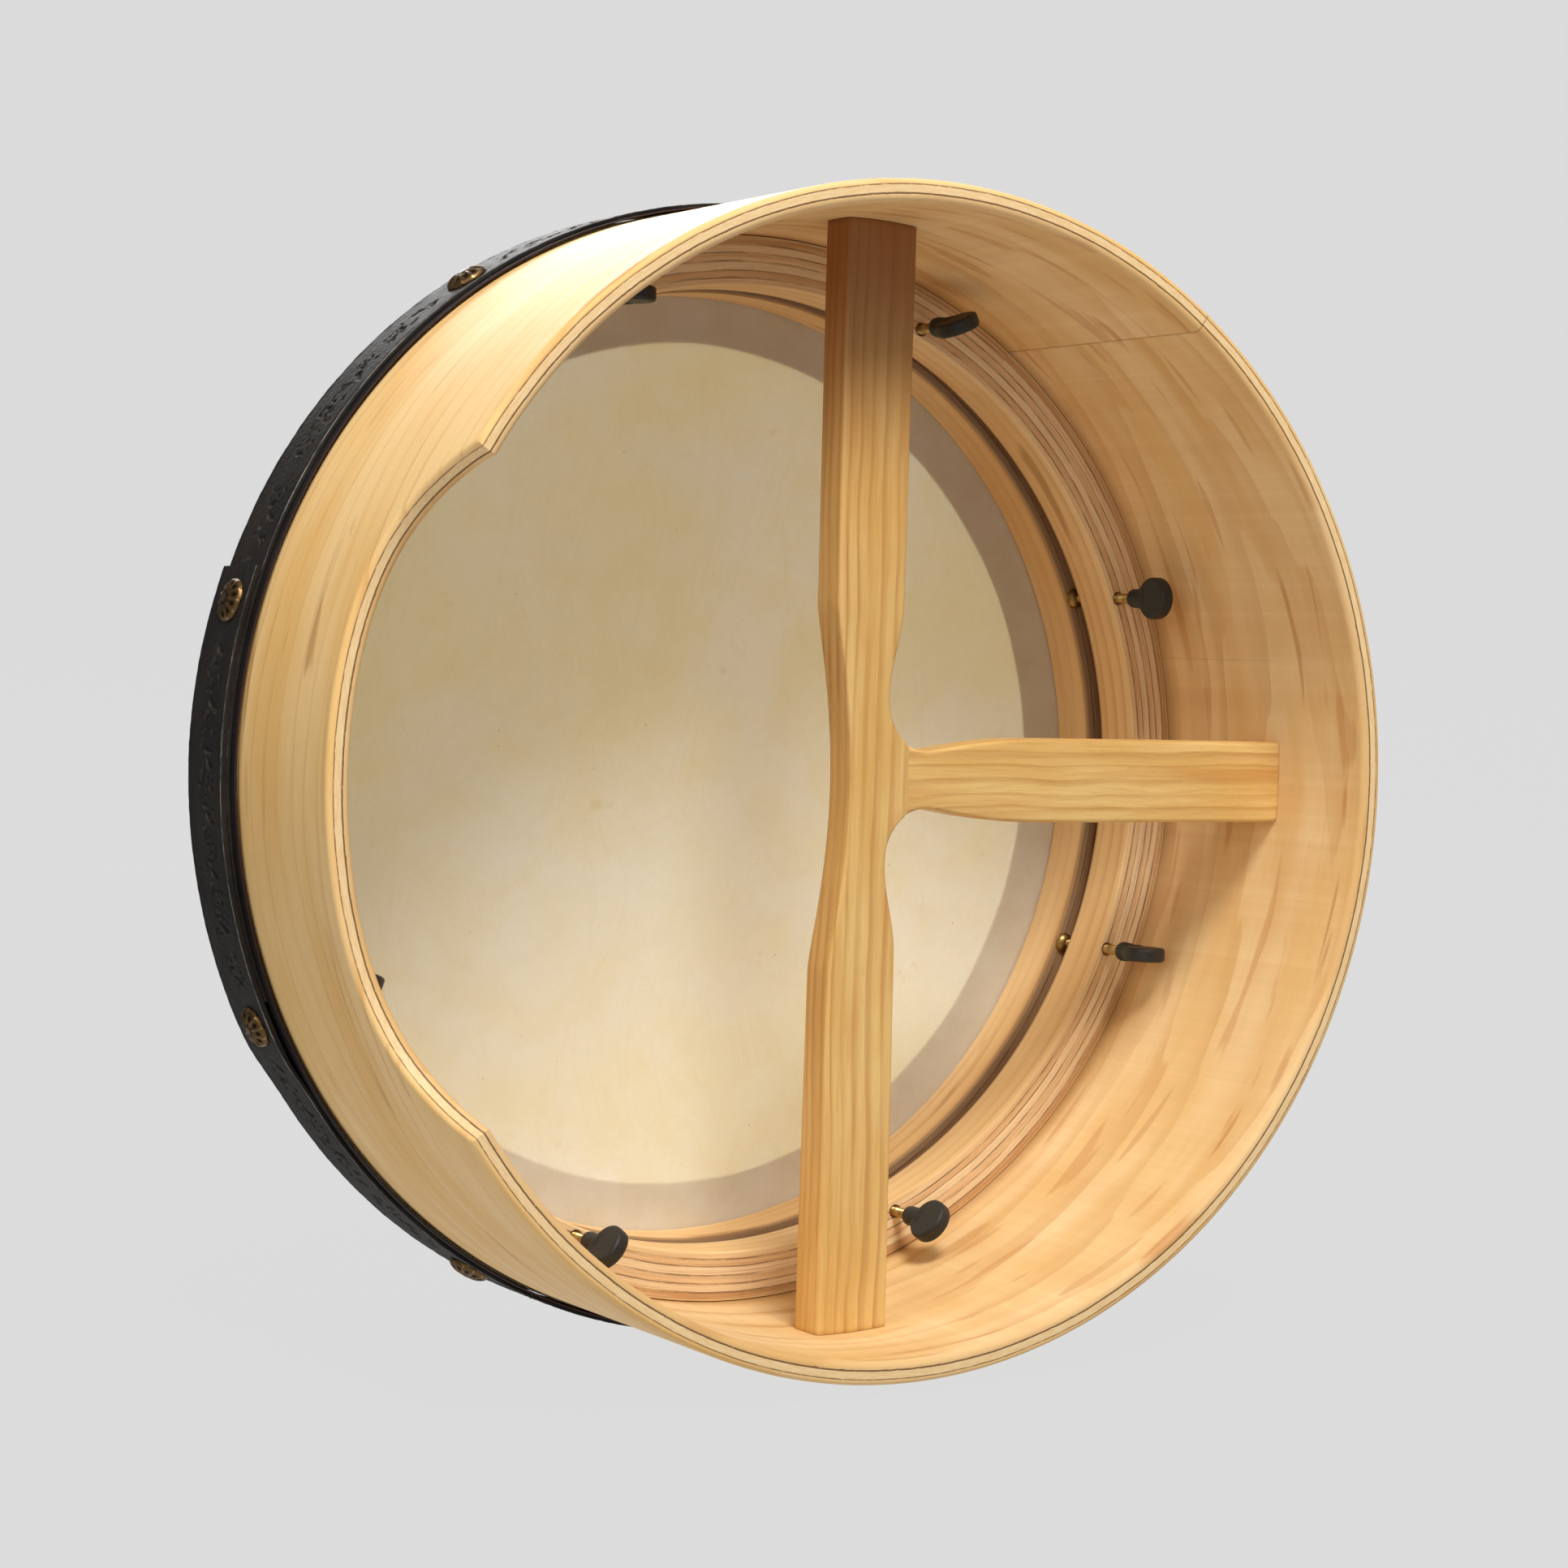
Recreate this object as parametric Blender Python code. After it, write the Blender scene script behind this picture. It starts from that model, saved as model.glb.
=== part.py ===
"""A tunable bodhran, a frame drum played from behind with a beater.

World frame: metres, +Z up. The drum axis is the Y axis. The open back faces +Y
and the goatskin faces -Y. The origin is on the drum axis in the plane of the
crossbar's flat rear face, where the player's hand holds the drum. The hand
cutaway in the rear rim is at +X, and the short arm of the T-shaped crossbar
runs to -X. "Depth" is a distance from the rear rim towards the skin.
"""

import math

import bmesh
import bpy
from mathutils import Matrix, Vector

MM = 0.001
SEG = 64  # sides of every part turned about the drum axis, all in phase

# Shell: bent plywood
SHELL_R = 203.2
SHELL_WALL = 8.0
SHELL_DEPTH = 153.0
FRONT_ROUND = 8.0
RIM_CHAMFER = 1.0
BAR_REAR_DEPTH = 47.0  # depth of the crossbar's rear face, which is y = 0

# Hand cutaway in the rear rim
CUT_MID_DEG = -1.0
CUT_HALF_DEG = 32.3
CUT_DEPTH = 40.2
CUT_POWER = 5.0
CUT_SHAPE = 0.88

# Crossbar and its side arm
BAR_X = (-20.1, 8.0)
BAR_THICK = 14.7
ARM_HALF = 15.2
ARM_NECK = 10.2
JOINT_X = -23.4
JOINT_HALF = 12.4
BAR_END_R = 194.6
DOWEL_R = 4.0

# Fixed lug ring glued inside the shell
RING_IN = 176.8
RING_OUT = 194.9
RING_REAR = 113.2
RING_FRONT = 133.7

# Tuning hoop that pushes the skin out
HOOP_IN = 176.4
HOOP_OUT = 194.0
HOOP_REAR = 141.5
HOOP_FRONT = 161.5
HOOP_ROUND = 3.0

# Eight thumb screws, M4 x 0.7
SCREW_COUNT = 8
SCREW_R = 180.5
SCREW_FIRST_DEG = 22.5
ROD_RADIUS = 1.95
INSERT_R = 2.8
INSERT_BORE = 2.25
INSERT_LONG = 12.0
SEAT_R = 4.0
SEAT_TALL = 3.0
WING_NECK_R = 3.7
WING_NECK_DEPTH = 104.0  # where the black neck starts
WING_MID = 13.9  # spade centre from the start of the neck
WING_R = 8.1
WING_THICK = 5.5
# Angle of each wing about its screw, from +X towards +Z
WING_TURN_DEG = (0.0, 90.0, 155.0, 88.0, 2.0, 125.0, 128.0, 20.0)
WING_AT_DEG = (67.5, 22.5, 112.5, 157.5, -157.5, -112.5, -67.5, -22.5)

# Goatskin, its edge tape, and the leather that covers the tacked edge
SKIN_THICK = 0.6
SKIN_GAP = 0.25
SKIN_HEM = 112.5
TAPE_IN = 159.2
TAPE_OUT = 178.2
BAND_IN, BAND_OUT = 204.25, 204.9
BAND_REAR, BAND_FRONT = 109.5, 143.1
STRAP_IN, STRAP_OUT = 205.1, 206.1
STRAP_REAR, STRAP_FRONT = 113.5, 142.7
LAP_IN, LAP_OUT = 206.5, 208.0
LAP_TOP_DEG = 19.0  # where the strap's outer end is cut
LAP_LOW_DEG = -22.5  # where its inner end is cut
LAP_RAMP_DEG = (-34.0, -26.5)

# Tacks, about every 40 degrees
TACK_AT_DEG = (56.0, 15.6, -25.2, -59.5, -100.2, -141.0, 178.2, 137.5, 96.8)
TACK_DEPTH = 126.5
TACK_HEAD_R = 7.6
TACK_TALL = 3.2
NAIL_R = 0.8

CLEAR = 0.3


def y_of(depth):
    """World y, in mm, of a depth from the rear rim."""
    return BAR_REAR_DEPTH - depth


# ---------------------------------------------------------------- helpers
def clear_scene():
    for obj in list(bpy.data.objects):
        bpy.data.objects.remove(obj, do_unlink=True)


def material(name, colour, rough, metal=0.0):
    found = bpy.data.materials.get(name)
    if found:
        return found
    made = bpy.data.materials.new(name)
    made.use_nodes = True
    shader = made.node_tree.nodes["Principled BSDF"]
    shader.inputs["Base Color"].default_value = (*colour, 1.0)
    shader.inputs["Roughness"].default_value = rough
    shader.inputs["Metallic"].default_value = metal
    return made


def add(name, mesh, mat=None, location=(0, 0, 0), rotation=(0, 0, 0), parent=None):
    obj = bpy.data.objects.new(name, mesh)
    bpy.context.scene.collection.objects.link(obj)
    obj.parent = parent
    obj.location = [v * MM for v in location]
    obj.rotation_euler = rotation
    if mat:
        if mesh.materials:
            mesh.materials[0] = mat
        else:
            mesh.materials.append(mat)
    return obj


def guide(obj):
    obj.hide_render = True
    obj.display_type = "WIRE"
    return obj


def finish_mesh(bm, name, smooth=30.0):
    bmesh.ops.recalc_face_normals(bm, faces=bm.faces)
    if bm.calc_volume(signed=True) < 0:
        bmesh.ops.reverse_faces(bm, faces=bm.faces)
    mesh = bpy.data.meshes.new(name)
    bm.to_mesh(mesh)
    bm.free()
    mesh.shade_smooth()
    mesh.set_sharp_from_angle(angle=math.radians(smooth))
    return mesh


def turned_into(bm, profile, seg, closed, matrix=None):
    """Turns (radius, height) points, in mm, about local Z. An open profile starts and ends on the axis."""
    rows = []
    for radius, height in profile:
        if radius < 1e-6:
            rows.append([bm.verts.new((0, 0, height * MM))])
            continue
        rows.append(
            [
                bm.verts.new(
                    (
                        radius * MM * math.cos(2 * math.pi * k / seg),
                        radius * MM * math.sin(2 * math.pi * k / seg),
                        height * MM,
                    )
                )
                for k in range(seg)
            ]
        )
    pairs = list(zip(rows, rows[1:]))
    if closed:
        pairs.append((rows[-1], rows[0]))
    for a, b in pairs:
        for k in range(seg):
            n = (k + 1) % seg
            if len(a) == 1:
                bm.faces.new((a[0], b[k], b[n]))
            elif len(b) == 1:
                bm.faces.new((a[k], b[0], a[n]))
            else:
                bm.faces.new((a[k], b[k], b[n], a[n]))
    if matrix is not None:
        made = [v for row in rows for v in row]
        bmesh.ops.transform(bm, matrix=matrix, verts=made)


def turned(name, profile, seg, closed=True, smooth=30.0):
    bm = bmesh.new()
    turned_into(bm, profile, seg, closed)
    return finish_mesh(bm, name, smooth)


ON_AXIS = (-math.pi / 2, 0, 0)  # local Z becomes the drum axis, +Y


def about_drum(profile):
    """(radius, depth) points as (radius, local height) points."""
    return [(r, y_of(d)) for r, d in profile]


def radial_matrix(deg, radius, depth):
    """Local Z points out along the drum's radius at this angle."""
    a = math.radians(deg)
    return (
        Matrix.Translation(
            (radius * MM * math.cos(a), y_of(depth) * MM, radius * MM * math.sin(a))
        )
        @ Matrix.Rotation(math.pi / 2 - a, 4, "Y")
    )


def axial_matrix(deg, radius, depth):
    """Local Z points along +Y, on a circle about the drum axis."""
    a = math.radians(deg)
    return (
        Matrix.Translation(
            (radius * MM * math.cos(a), y_of(depth) * MM, radius * MM * math.sin(a))
        )
        @ Matrix.Rotation(-math.pi / 2, 4, "X")
    )


def rod_profile(radius, low, high):
    return [(0, low), (radius, low), (radius, high), (0, high)]


def cut(obj, cutter, name):
    mod = obj.modifiers.new(name, "BOOLEAN")
    mod.operation = "DIFFERENCE"
    mod.solver = "EXACT"
    mod.object = cutter


def extruded(name, outline, low_y, high_y):
    """An outline of (x, z) points, in mm, extruded along Y."""
    bm = bmesh.new()
    low = [bm.verts.new((x * MM, low_y * MM, z * MM)) for x, z in outline]
    face = bm.faces.new(low)
    made = bmesh.ops.extrude_face_region(bm, geom=[face])
    moved = [v for v in made["geom"] if isinstance(v, bmesh.types.BMVert)]
    bmesh.ops.translate(bm, verts=moved, vec=Vector((0, (high_y - low_y) * MM, 0)))
    return finish_mesh(bm, name)


# ---------------------------------------------------------------- colours
clear_scene()
PLY = material("bent_ply", (0.62, 0.43, 0.24), 0.45)
PINE = material("crossbar_wood", (0.56, 0.35, 0.16), 0.45)
RING_WOOD = material("lug_ring_ply", (0.55, 0.33, 0.16), 0.5)
HOOP_WOOD = material("tuning_hoop_ply", (0.52, 0.31, 0.14), 0.5)
DOWEL_WOOD = material("dowel_beech", (0.6, 0.42, 0.26), 0.5)
SKIN = material("goatskin", (0.75, 0.62, 0.43), 0.6)
TAPE = material("edge_tape", (0.02, 0.02, 0.02), 0.5)
LEATHER = material("band_leather", (0.03, 0.028, 0.026), 0.55)
STRAP_LEATHER = material("strap_leather", (0.035, 0.032, 0.03), 0.5)
ANTIQUE = material("antique_brass", (0.16, 0.12, 0.07), 0.45, 0.9)
BRASS = material("brass", (0.55, 0.4, 0.16), 0.3, 1.0)
INSERT_BRASS = material("insert_brass", (0.6, 0.45, 0.2), 0.35, 1.0)
KNOB = material("thumb_screw_plastic", (0.02, 0.019, 0.018), 0.5)
STEEL = material("wood_screw_steel", (0.5, 0.48, 0.42), 0.35, 1.0)

# ---------------------------------------------------------------- cutters
# The hand cutaway: a bent prism through the wall, deepest in the middle.
bm = bmesh.new()
CUT_STEPS = 36
sections = []
for step in range(CUT_STEPS + 1):
    across = -math.cos(math.pi * step / CUT_STEPS)
    deg = CUT_MID_DEG + CUT_HALF_DEG * across
    depth = CUT_DEPTH * max(0.0, 1 - abs(across) ** CUT_POWER) ** CUT_SHAPE
    a = math.radians(deg)
    sections.append(
        [
            bm.verts.new((r * MM * math.cos(a), y_of(d) * MM, r * MM * math.sin(a)))
            for r, d in (
                (188.0, depth - 0.5),
                (212.0, depth - 0.5),
                (212.0, -6.0),
                (188.0, -6.0),
            )
        ]
    )
for one, two in zip(sections, sections[1:]):
    for k in range(4):
        bm.faces.new((one[k], one[(k + 1) % 4], two[(k + 1) % 4], two[k]))
bm.faces.new(sections[0])
bm.faces.new(list(reversed(sections[-1])))
cutaway_cutter = guide(add("cutaway_cutter", finish_mesh(bm, "cutaway_cutter")))

# Nail holes through the strap, band and skin into the shell.
bm = bmesh.new()
for deg in TACK_AT_DEG:
    turned_into(
        bm,
        rod_profile(NAIL_R + CLEAR, 197.2, 214.0),
        8,
        False,
        radial_matrix(deg, 0, TACK_DEPTH),
    )
nail_cutter = guide(add("nail_cutter", finish_mesh(bm, "nail_cutter")))

# Wood screws: two into each end of the crossbar and two into the arm.
SCREW_MID_DEPTH = BAR_REAR_DEPTH + BAR_THICK / 2
BAR_SCREWS = []
for name, base, offsets in (
    ("top", 90.0, (6.05 - 6.5, 6.05 + 6.5)),
    ("bottom", -90.0, (-6.05 + 6.5, -6.05 - 6.5)),
    ("arm", 180.0, (-7.0, 7.0)),
):
    for k, across in enumerate(offsets, 1):
        deg = base + math.degrees(math.asin(across / SHELL_R))
        BAR_SCREWS.append((f"bar_screw_{name}_{k}", deg))
bm = bmesh.new()
for _, deg in BAR_SCREWS:
    turned_into(
        bm,
        [(0, 172.2), (1.95, 172.2), (1.95, 200.0), (3.9, 202.7), (3.9, 208.0), (0, 208.0)],
        12,
        False,
        radial_matrix(deg, 0, SCREW_MID_DEPTH),
    )
bar_screw_cutter = guide(add("bar_screw_cutter", finish_mesh(bm, "bar_screw_cutter")))

# ---------------------------------------------------------------- shell
shell_inner = SHELL_R - SHELL_WALL
arc = [
    (
        shell_inner + FRONT_ROUND * math.cos(a),
        SHELL_DEPTH - FRONT_ROUND + FRONT_ROUND * math.sin(a),
    )
    for a in (0, math.pi / 6, math.pi / 3, math.pi / 2)
]
shell_profile = [
    (SHELL_R - RIM_CHAMFER, 0.0),
    (SHELL_R, RIM_CHAMFER),
    *arc,
    (shell_inner, RIM_CHAMFER),
    (shell_inner + RIM_CHAMFER, 0.0),
]
shell = add("shell", turned("shell", about_drum(shell_profile), SEG), PLY, rotation=ON_AXIS)
cut(shell, cutaway_cutter, "cutaway")
cut(shell, nail_cutter, "nail_holes")
cut(shell, bar_screw_cutter, "bar_screw_holes")


# ---------------------------------------------------------------- crossbar
def scoop_left(z):
    """The long edge away from the arm, hollowed gently at the middle."""
    u = min(1.0, abs(z + 3.0) / 64.0)
    return BAR_X[1] - 7.3 * (1 - u * u) ** 1.25


def scoop_right(z):
    """The long edge on the arm's side: hollowed above and below the joint, then flared to meet it."""
    z = abs(z)
    if z >= 62:
        return BAR_X[0]
    if z >= 30:
        t = (62 - z) / 32
        return BAR_X[0] + 5.0 * t * t * (3 - 2 * t)
    if z >= JOINT_HALF:
        return BAR_X[0] + 5.0 - 8.3 * ((30 - z) / (30 - JOINT_HALF)) ** 2.6
    return JOINT_X


def arm_half(x):
    u = JOINT_X - x
    if u < 9:
        return ARM_NECK + (JOINT_HALF - ARM_NECK) * (1 - max(0.0, u) / 9) ** 2
    t = min(1.0, (u - 9) / 50)
    return ARM_NECK + (ARM_HALF - ARM_NECK) * (1 - math.cos(math.pi * t**0.6)) / 2


def end_z(x):
    return math.sqrt(BAR_END_R**2 - x**2)


edge_z = [-62, -52, -43, -36, -30, -25, -20, -16, -JOINT_HALF]
edge_z = edge_z + [-z for z in reversed(edge_z)]
side_z = [-64, -52, -42, -33, -24, -14, -3, 8, 18, 27, 36, 46, 58]
outline = [(scoop_right(z), z) for z in edge_z]
outline += [(x, end_z(x)) for x in (BAR_X[0], -10.0, -1.0, BAR_X[1])]
outline += [(scoop_left(z), z) for z in reversed(side_z)]
outline += [(x, -end_z(x)) for x in (BAR_X[1], -1.0, -10.0, BAR_X[0])]
crossbar = add("crossbar", extruded("crossbar", outline, -BAR_THICK, 0), PINE)

arm_x = [JOINT_X - CLEAR, -26, -29, -32.4, -37, -43, -51, -61, -82]
outline = [(x, arm_half(x)) for x in arm_x]
outline += [
    (-math.sqrt(BAR_END_R**2 - z * z), z) for z in (ARM_HALF, 7.0, 0.0, -7.0, -ARM_HALF)
]
outline += [(x, -arm_half(x)) for x in reversed(arm_x)]
arm = add("crossbar_arm", extruded("crossbar_arm", outline, -BAR_THICK, 0), PINE)

for bar in (crossbar, arm):
    mod = bar.modifiers.new("eased_edges", "BEVEL")
    mod.width = 0.8 * MM
    mod.segments = 1
    mod.limit_method = "ANGLE"
    mod.angle_limit = math.radians(50)
    cut(bar, bar_screw_cutter, "screw_pilots")

DOWEL_FROM, DOWEL_TO = -39.0, -10.8
along_x = (0, math.pi / 2, 0)
dowel_mid = BAR_THICK / 2
dowel_cutter = guide(
    add(
        "dowel_cutter",
        turned(
            "dowel_cutter",
            rod_profile(DOWEL_R + CLEAR, DOWEL_FROM - CLEAR, DOWEL_TO + CLEAR),
            16,
            closed=False,
        ),
        location=(0, -dowel_mid, 0),
        rotation=along_x,
    )
)
cut(crossbar, dowel_cutter, "dowel_bore")
cut(arm, dowel_cutter, "dowel_bore")
add(
    "joint_dowel",
    turned(
        "joint_dowel",
        [
            (0, DOWEL_FROM),
            (DOWEL_R - 0.6, DOWEL_FROM),
            (DOWEL_R, DOWEL_FROM + 0.6),
            (DOWEL_R, DOWEL_TO - 0.6),
            (DOWEL_R - 0.6, DOWEL_TO),
            (0, DOWEL_TO),
        ],
        16,
        closed=False,
    ),
    DOWEL_WOOD,
    location=(0, -dowel_mid, 0),
    rotation=along_x,
)

# ---------------------------------------------------------------- lug ring
ring_cutters = []
bm = bmesh.new()
for deg in WING_AT_DEG:
    place = axial_matrix(deg, SCREW_R, RING_FRONT)
    turned_into(
        bm,
        [
            (0, -3.0),
            (INSERT_R + CLEAR, -3.0),
            (INSERT_R + CLEAR, INSERT_LONG + CLEAR),
            (INSERT_BORE, INSERT_LONG + CLEAR),
            (INSERT_BORE, RING_FRONT - RING_REAR + 3.0),
            (0, RING_FRONT - RING_REAR + 3.0),
        ],
        12,
        False,
        place,
    )
lug_cutter = guide(add("lug_bore_cutter", finish_mesh(bm, "lug_bore_cutter")))
ring_profile = [
    (RING_IN + 0.6, RING_REAR),
    (RING_OUT, RING_REAR),
    (RING_OUT, RING_FRONT),
    (RING_IN + 0.6, RING_FRONT),
    (RING_IN, RING_FRONT - 0.6),
    (RING_IN, RING_REAR + 0.6),
]
lug_ring = add(
    "lug_ring", turned("lug_ring", about_drum(ring_profile), SEG), RING_WOOD, rotation=ON_AXIS
)
cut(lug_ring, lug_cutter, "lug_bores")

# ---------------------------------------------------------------- tuning hoop
bm = bmesh.new()
for deg in WING_AT_DEG:
    turned_into(
        bm,
        rod_profile(1.3 + CLEAR, -9.3, 3.0),
        8,
        False,
        axial_matrix(deg, SCREW_R, HOOP_REAR),
    )
seat_cutter = guide(add("seat_bore_cutter", finish_mesh(bm, "seat_bore_cutter")))
hoop_arc = [
    (
        HOOP_OUT - HOOP_ROUND + HOOP_ROUND * math.cos(a),
        HOOP_FRONT - HOOP_ROUND + HOOP_ROUND * math.sin(a),
    )
    for a in (0, math.pi / 4, math.pi / 2)
]
hoop_profile = [
    (HOOP_IN + 0.6, HOOP_REAR),
    (HOOP_OUT, HOOP_REAR),
    *hoop_arc,
    (HOOP_IN + 1.0, HOOP_FRONT),
    (HOOP_IN, HOOP_FRONT - 1.0),
    (HOOP_IN, HOOP_REAR + 0.6),
]
hoop = add(
    "tuning_hoop",
    turned("tuning_hoop", about_drum(hoop_profile), SEG),
    HOOP_WOOD,
    rotation=ON_AXIS,
)
cut(hoop, seat_cutter, "seat_bores")

# ---------------------------------------------------------------- thumb screws
insert_mesh = turned(
    "lug_insert",
    [(INSERT_BORE, 0), (INSERT_R, 0), (INSERT_R, INSERT_LONG), (INSERT_BORE, INSERT_LONG)],
    12,
)
seat_mesh = turned(
    "screw_seat",
    [
        (0, SEAT_TALL),
        (1.6, SEAT_TALL - 0.25),
        (3.0, SEAT_TALL - 1.1),
        (SEAT_R, CLEAR + 0.3),
        (SEAT_R, CLEAR),
        (1.3, CLEAR),
        (1.3, -9.0),
        (0, -9.0),
    ],
    12,
    closed=False,
)
# A rod's local zero is at the ring's rear face, and +Z is towards the wing.
ROD_TIP = -(HOOP_REAR - SEAT_TALL - RING_REAR) + CLEAR
ROD_END = RING_REAR - WING_NECK_DEPTH + 12.0
rod_mesh = turned(
    "screw_rod",
    [
        (0, ROD_TIP),
        (1.2, ROD_TIP),
        (ROD_RADIUS, ROD_TIP + 0.8),
        (ROD_RADIUS, ROD_END - 0.4),
        (ROD_RADIUS - 0.4, ROD_END),
        (0, ROD_END),
    ],
    12,
    closed=False,
)

# The wing: a round spade on a neck, hollow where the rod is moulded in.
neck = guide(
    add(
        "wing_neck_solid",
        turned(
            "wing_neck_solid",
            [
                (0, 0),
                (WING_NECK_R - 0.7, 0),
                (WING_NECK_R, 0.8),
                (WING_NECK_R, 8.0),
                (2.4, 12.5),
                (0, 12.5),
            ],
            12,
            closed=False,
        ),
    )
)
bore = guide(
    add(
        "wing_bore_cutter",
        turned("wing_bore_cutter", rod_profile(ROD_RADIUS + CLEAR, -2.0, 12.0 + CLEAR), 12, closed=False),
    )
)
half = WING_THICK / 2
spade = guide(
    add(
        "wing_spade_solid",
        turned(
            "wing_spade_solid",
            [
                (0, -half),
                (WING_R - 1.6, -half),
                (WING_R, -half + 1.6),
                (WING_R, half - 1.6),
                (WING_R - 1.6, half),
                (0, half),
            ],
            16,
            closed=False,
        ),
        location=(0, 0, WING_MID),
        rotation=(math.pi / 2, 0, 0),
    )
)
mod = spade.modifiers.new("neck", "BOOLEAN")
mod.operation = "UNION"
mod.solver = "EXACT"
mod.object = neck
cut(spade, bore, "rod_socket")
bpy.context.view_layer.update()
graph = bpy.context.evaluated_depsgraph_get()
wing_mesh = bpy.data.meshes.new_from_object(spade.evaluated_get(graph), depsgraph=graph)
wing_mesh.name = "thumb_wing"
# Bring the mesh from the spade's own axes into the screw's.
wing_mesh.transform(spade.matrix_world)
wing_mesh.shade_smooth()
wing_mesh.set_sharp_from_angle(angle=math.radians(35))

order = sorted(range(SCREW_COUNT), key=lambda k: -WING_AT_DEG[k] % 360)
for number, k in enumerate(order, 1):
    deg = WING_AT_DEG[k]
    a = math.radians(deg)
    x, z = SCREW_R * math.cos(a), SCREW_R * math.sin(a)
    add(
        f"lug_insert_{number}",
        insert_mesh,
        INSERT_BRASS,
        location=(x, y_of(RING_FRONT), z),
        rotation=ON_AXIS,
    )
    add(
        f"screw_seat_{number}",
        seat_mesh,
        BRASS,
        location=(x, y_of(HOOP_REAR), z),
        rotation=ON_AXIS,
    )
    rod = add(
        f"thumb_screw_{number}",
        rod_mesh,
        BRASS,
        location=(x, y_of(RING_REAR), z),
        rotation=(-math.pi / 2, -math.radians(WING_TURN_DEG[k]), 0),
    )
    add(
        f"thumb_wing_{number}",
        wing_mesh,
        KNOB,
        location=(0, 0, RING_REAR - WING_NECK_DEPTH),
        parent=rod,
    )

# ---------------------------------------------------------------- goatskin
# The skin lies on the hoop, turns over its rounded edge, runs back to the
# shell's rounded front edge, and ends as a collar under the band.
shoulder = (shell_inner, SHELL_DEPTH - FRONT_ROUND)
corner = (HOOP_OUT - HOOP_ROUND, HOOP_FRONT - HOOP_ROUND)


def skin_path(offset):
    ra, rb = FRONT_ROUND + offset, HOOP_ROUND + offset + 0.05
    dr, dd = corner[0] - shoulder[0], corner[1] - shoulder[1]
    long = math.hypot(dr, dd)
    tilt = math.atan2(dd, dr) - math.pi / 2 + math.asin((ra - rb) / long)
    points = [(shoulder[0] + ra, SKIN_HEM), (shoulder[0] + ra, shoulder[1])]
    points += [
        (shoulder[0] + ra * math.cos(t), shoulder[1] + ra * math.sin(t))
        for t in (tilt / 2, tilt)
    ]
    points += [
        (corner[0] + rb * math.cos(t), corner[1] + rb * math.sin(t))
        for t in (tilt, (tilt + math.pi / 2) / 2, math.pi / 2)
    ]
    return points


inner = skin_path(SKIN_GAP)
outer = skin_path(SKIN_GAP + SKIN_THICK)
skin_profile = [(0, inner[-1][1]), *reversed(inner), *outer, (0, outer[-1][1])]
head = add(
    "goatskin_head",
    turned("goatskin_head", about_drum(skin_profile), SEG, closed=False),
    SKIN,
    rotation=ON_AXIS,
)
cut(head, nail_cutter, "nail_holes")
SKIN_FRONT = outer[-1][1]

add(
    "edge_tape",
    turned(
        "edge_tape",
        about_drum(
            [
                (TAPE_IN, SKIN_FRONT + 0.2),
                (TAPE_OUT, SKIN_FRONT + 0.2),
                (TAPE_OUT, SKIN_FRONT + 0.5),
                (TAPE_IN, SKIN_FRONT + 0.5),
            ]
        ),
        SEG,
    ),
    TAPE,
    rotation=ON_AXIS,
)

# ---------------------------------------------------------------- leather
band = add(
    "band_lining",
    turned(
        "band_lining",
        about_drum(
            [
                (BAND_IN, BAND_REAR),
                (BAND_OUT, BAND_REAR),
                (BAND_OUT, BAND_FRONT),
                (BAND_IN, BAND_FRONT),
            ]
        ),
        SEG,
    ),
    LEATHER,
    rotation=ON_AXIS,
)
cut(band, nail_cutter, "nail_holes")


# The strap goes once round from its inner end and laps over it.
def strap_radii(turn_deg):
    """Inner and outer radius at an angle counted on from the inner end."""
    low, high = LAP_RAMP_DEG[0] + 360, LAP_RAMP_DEG[1] + 360
    t = min(1.0, max(0.0, (turn_deg - low) / (high - low)))
    t = t * t * (3 - 2 * t)
    return (
        STRAP_IN + (LAP_IN - STRAP_IN) * t,
        STRAP_OUT + (LAP_OUT - STRAP_OUT) * t,
    )


step = 360 / SEG
angles = {LAP_LOW_DEG, 360 + LAP_TOP_DEG}
first = math.ceil(LAP_LOW_DEG / step)
last = math.floor((360 + LAP_TOP_DEG) / step)
angles |= {k * step for k in range(first, last + 1)}
bm = bmesh.new()
sections = []
for deg in sorted(angles):
    # Between two corners of the many-sided drum, the strap lies on the flat.
    flat = math.cos(math.radians(step / 2)) / math.cos(
        math.radians((deg % step) - step / 2)
    )
    r_in, r_out = strap_radii(deg)
    a = math.radians(deg)
    sections.append(
        [
            bm.verts.new(
                (r * flat * MM * math.cos(a), y_of(d) * MM, r * flat * MM * math.sin(a))
            )
            for r, d in (
                (r_in, STRAP_REAR),
                (r_out, STRAP_REAR),
                (r_out, STRAP_FRONT),
                (r_in, STRAP_FRONT),
            )
        ]
    )
for one, two in zip(sections, sections[1:]):
    for k in range(4):
        bm.faces.new((one[k], one[(k + 1) % 4], two[(k + 1) % 4], two[k]))
bm.faces.new(sections[0])
bm.faces.new(list(reversed(sections[-1])))
strap = add("tooled_strap", finish_mesh(bm, "tooled_strap"), STRAP_LEATHER)
cut(strap, nail_cutter, "nail_holes")

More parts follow.
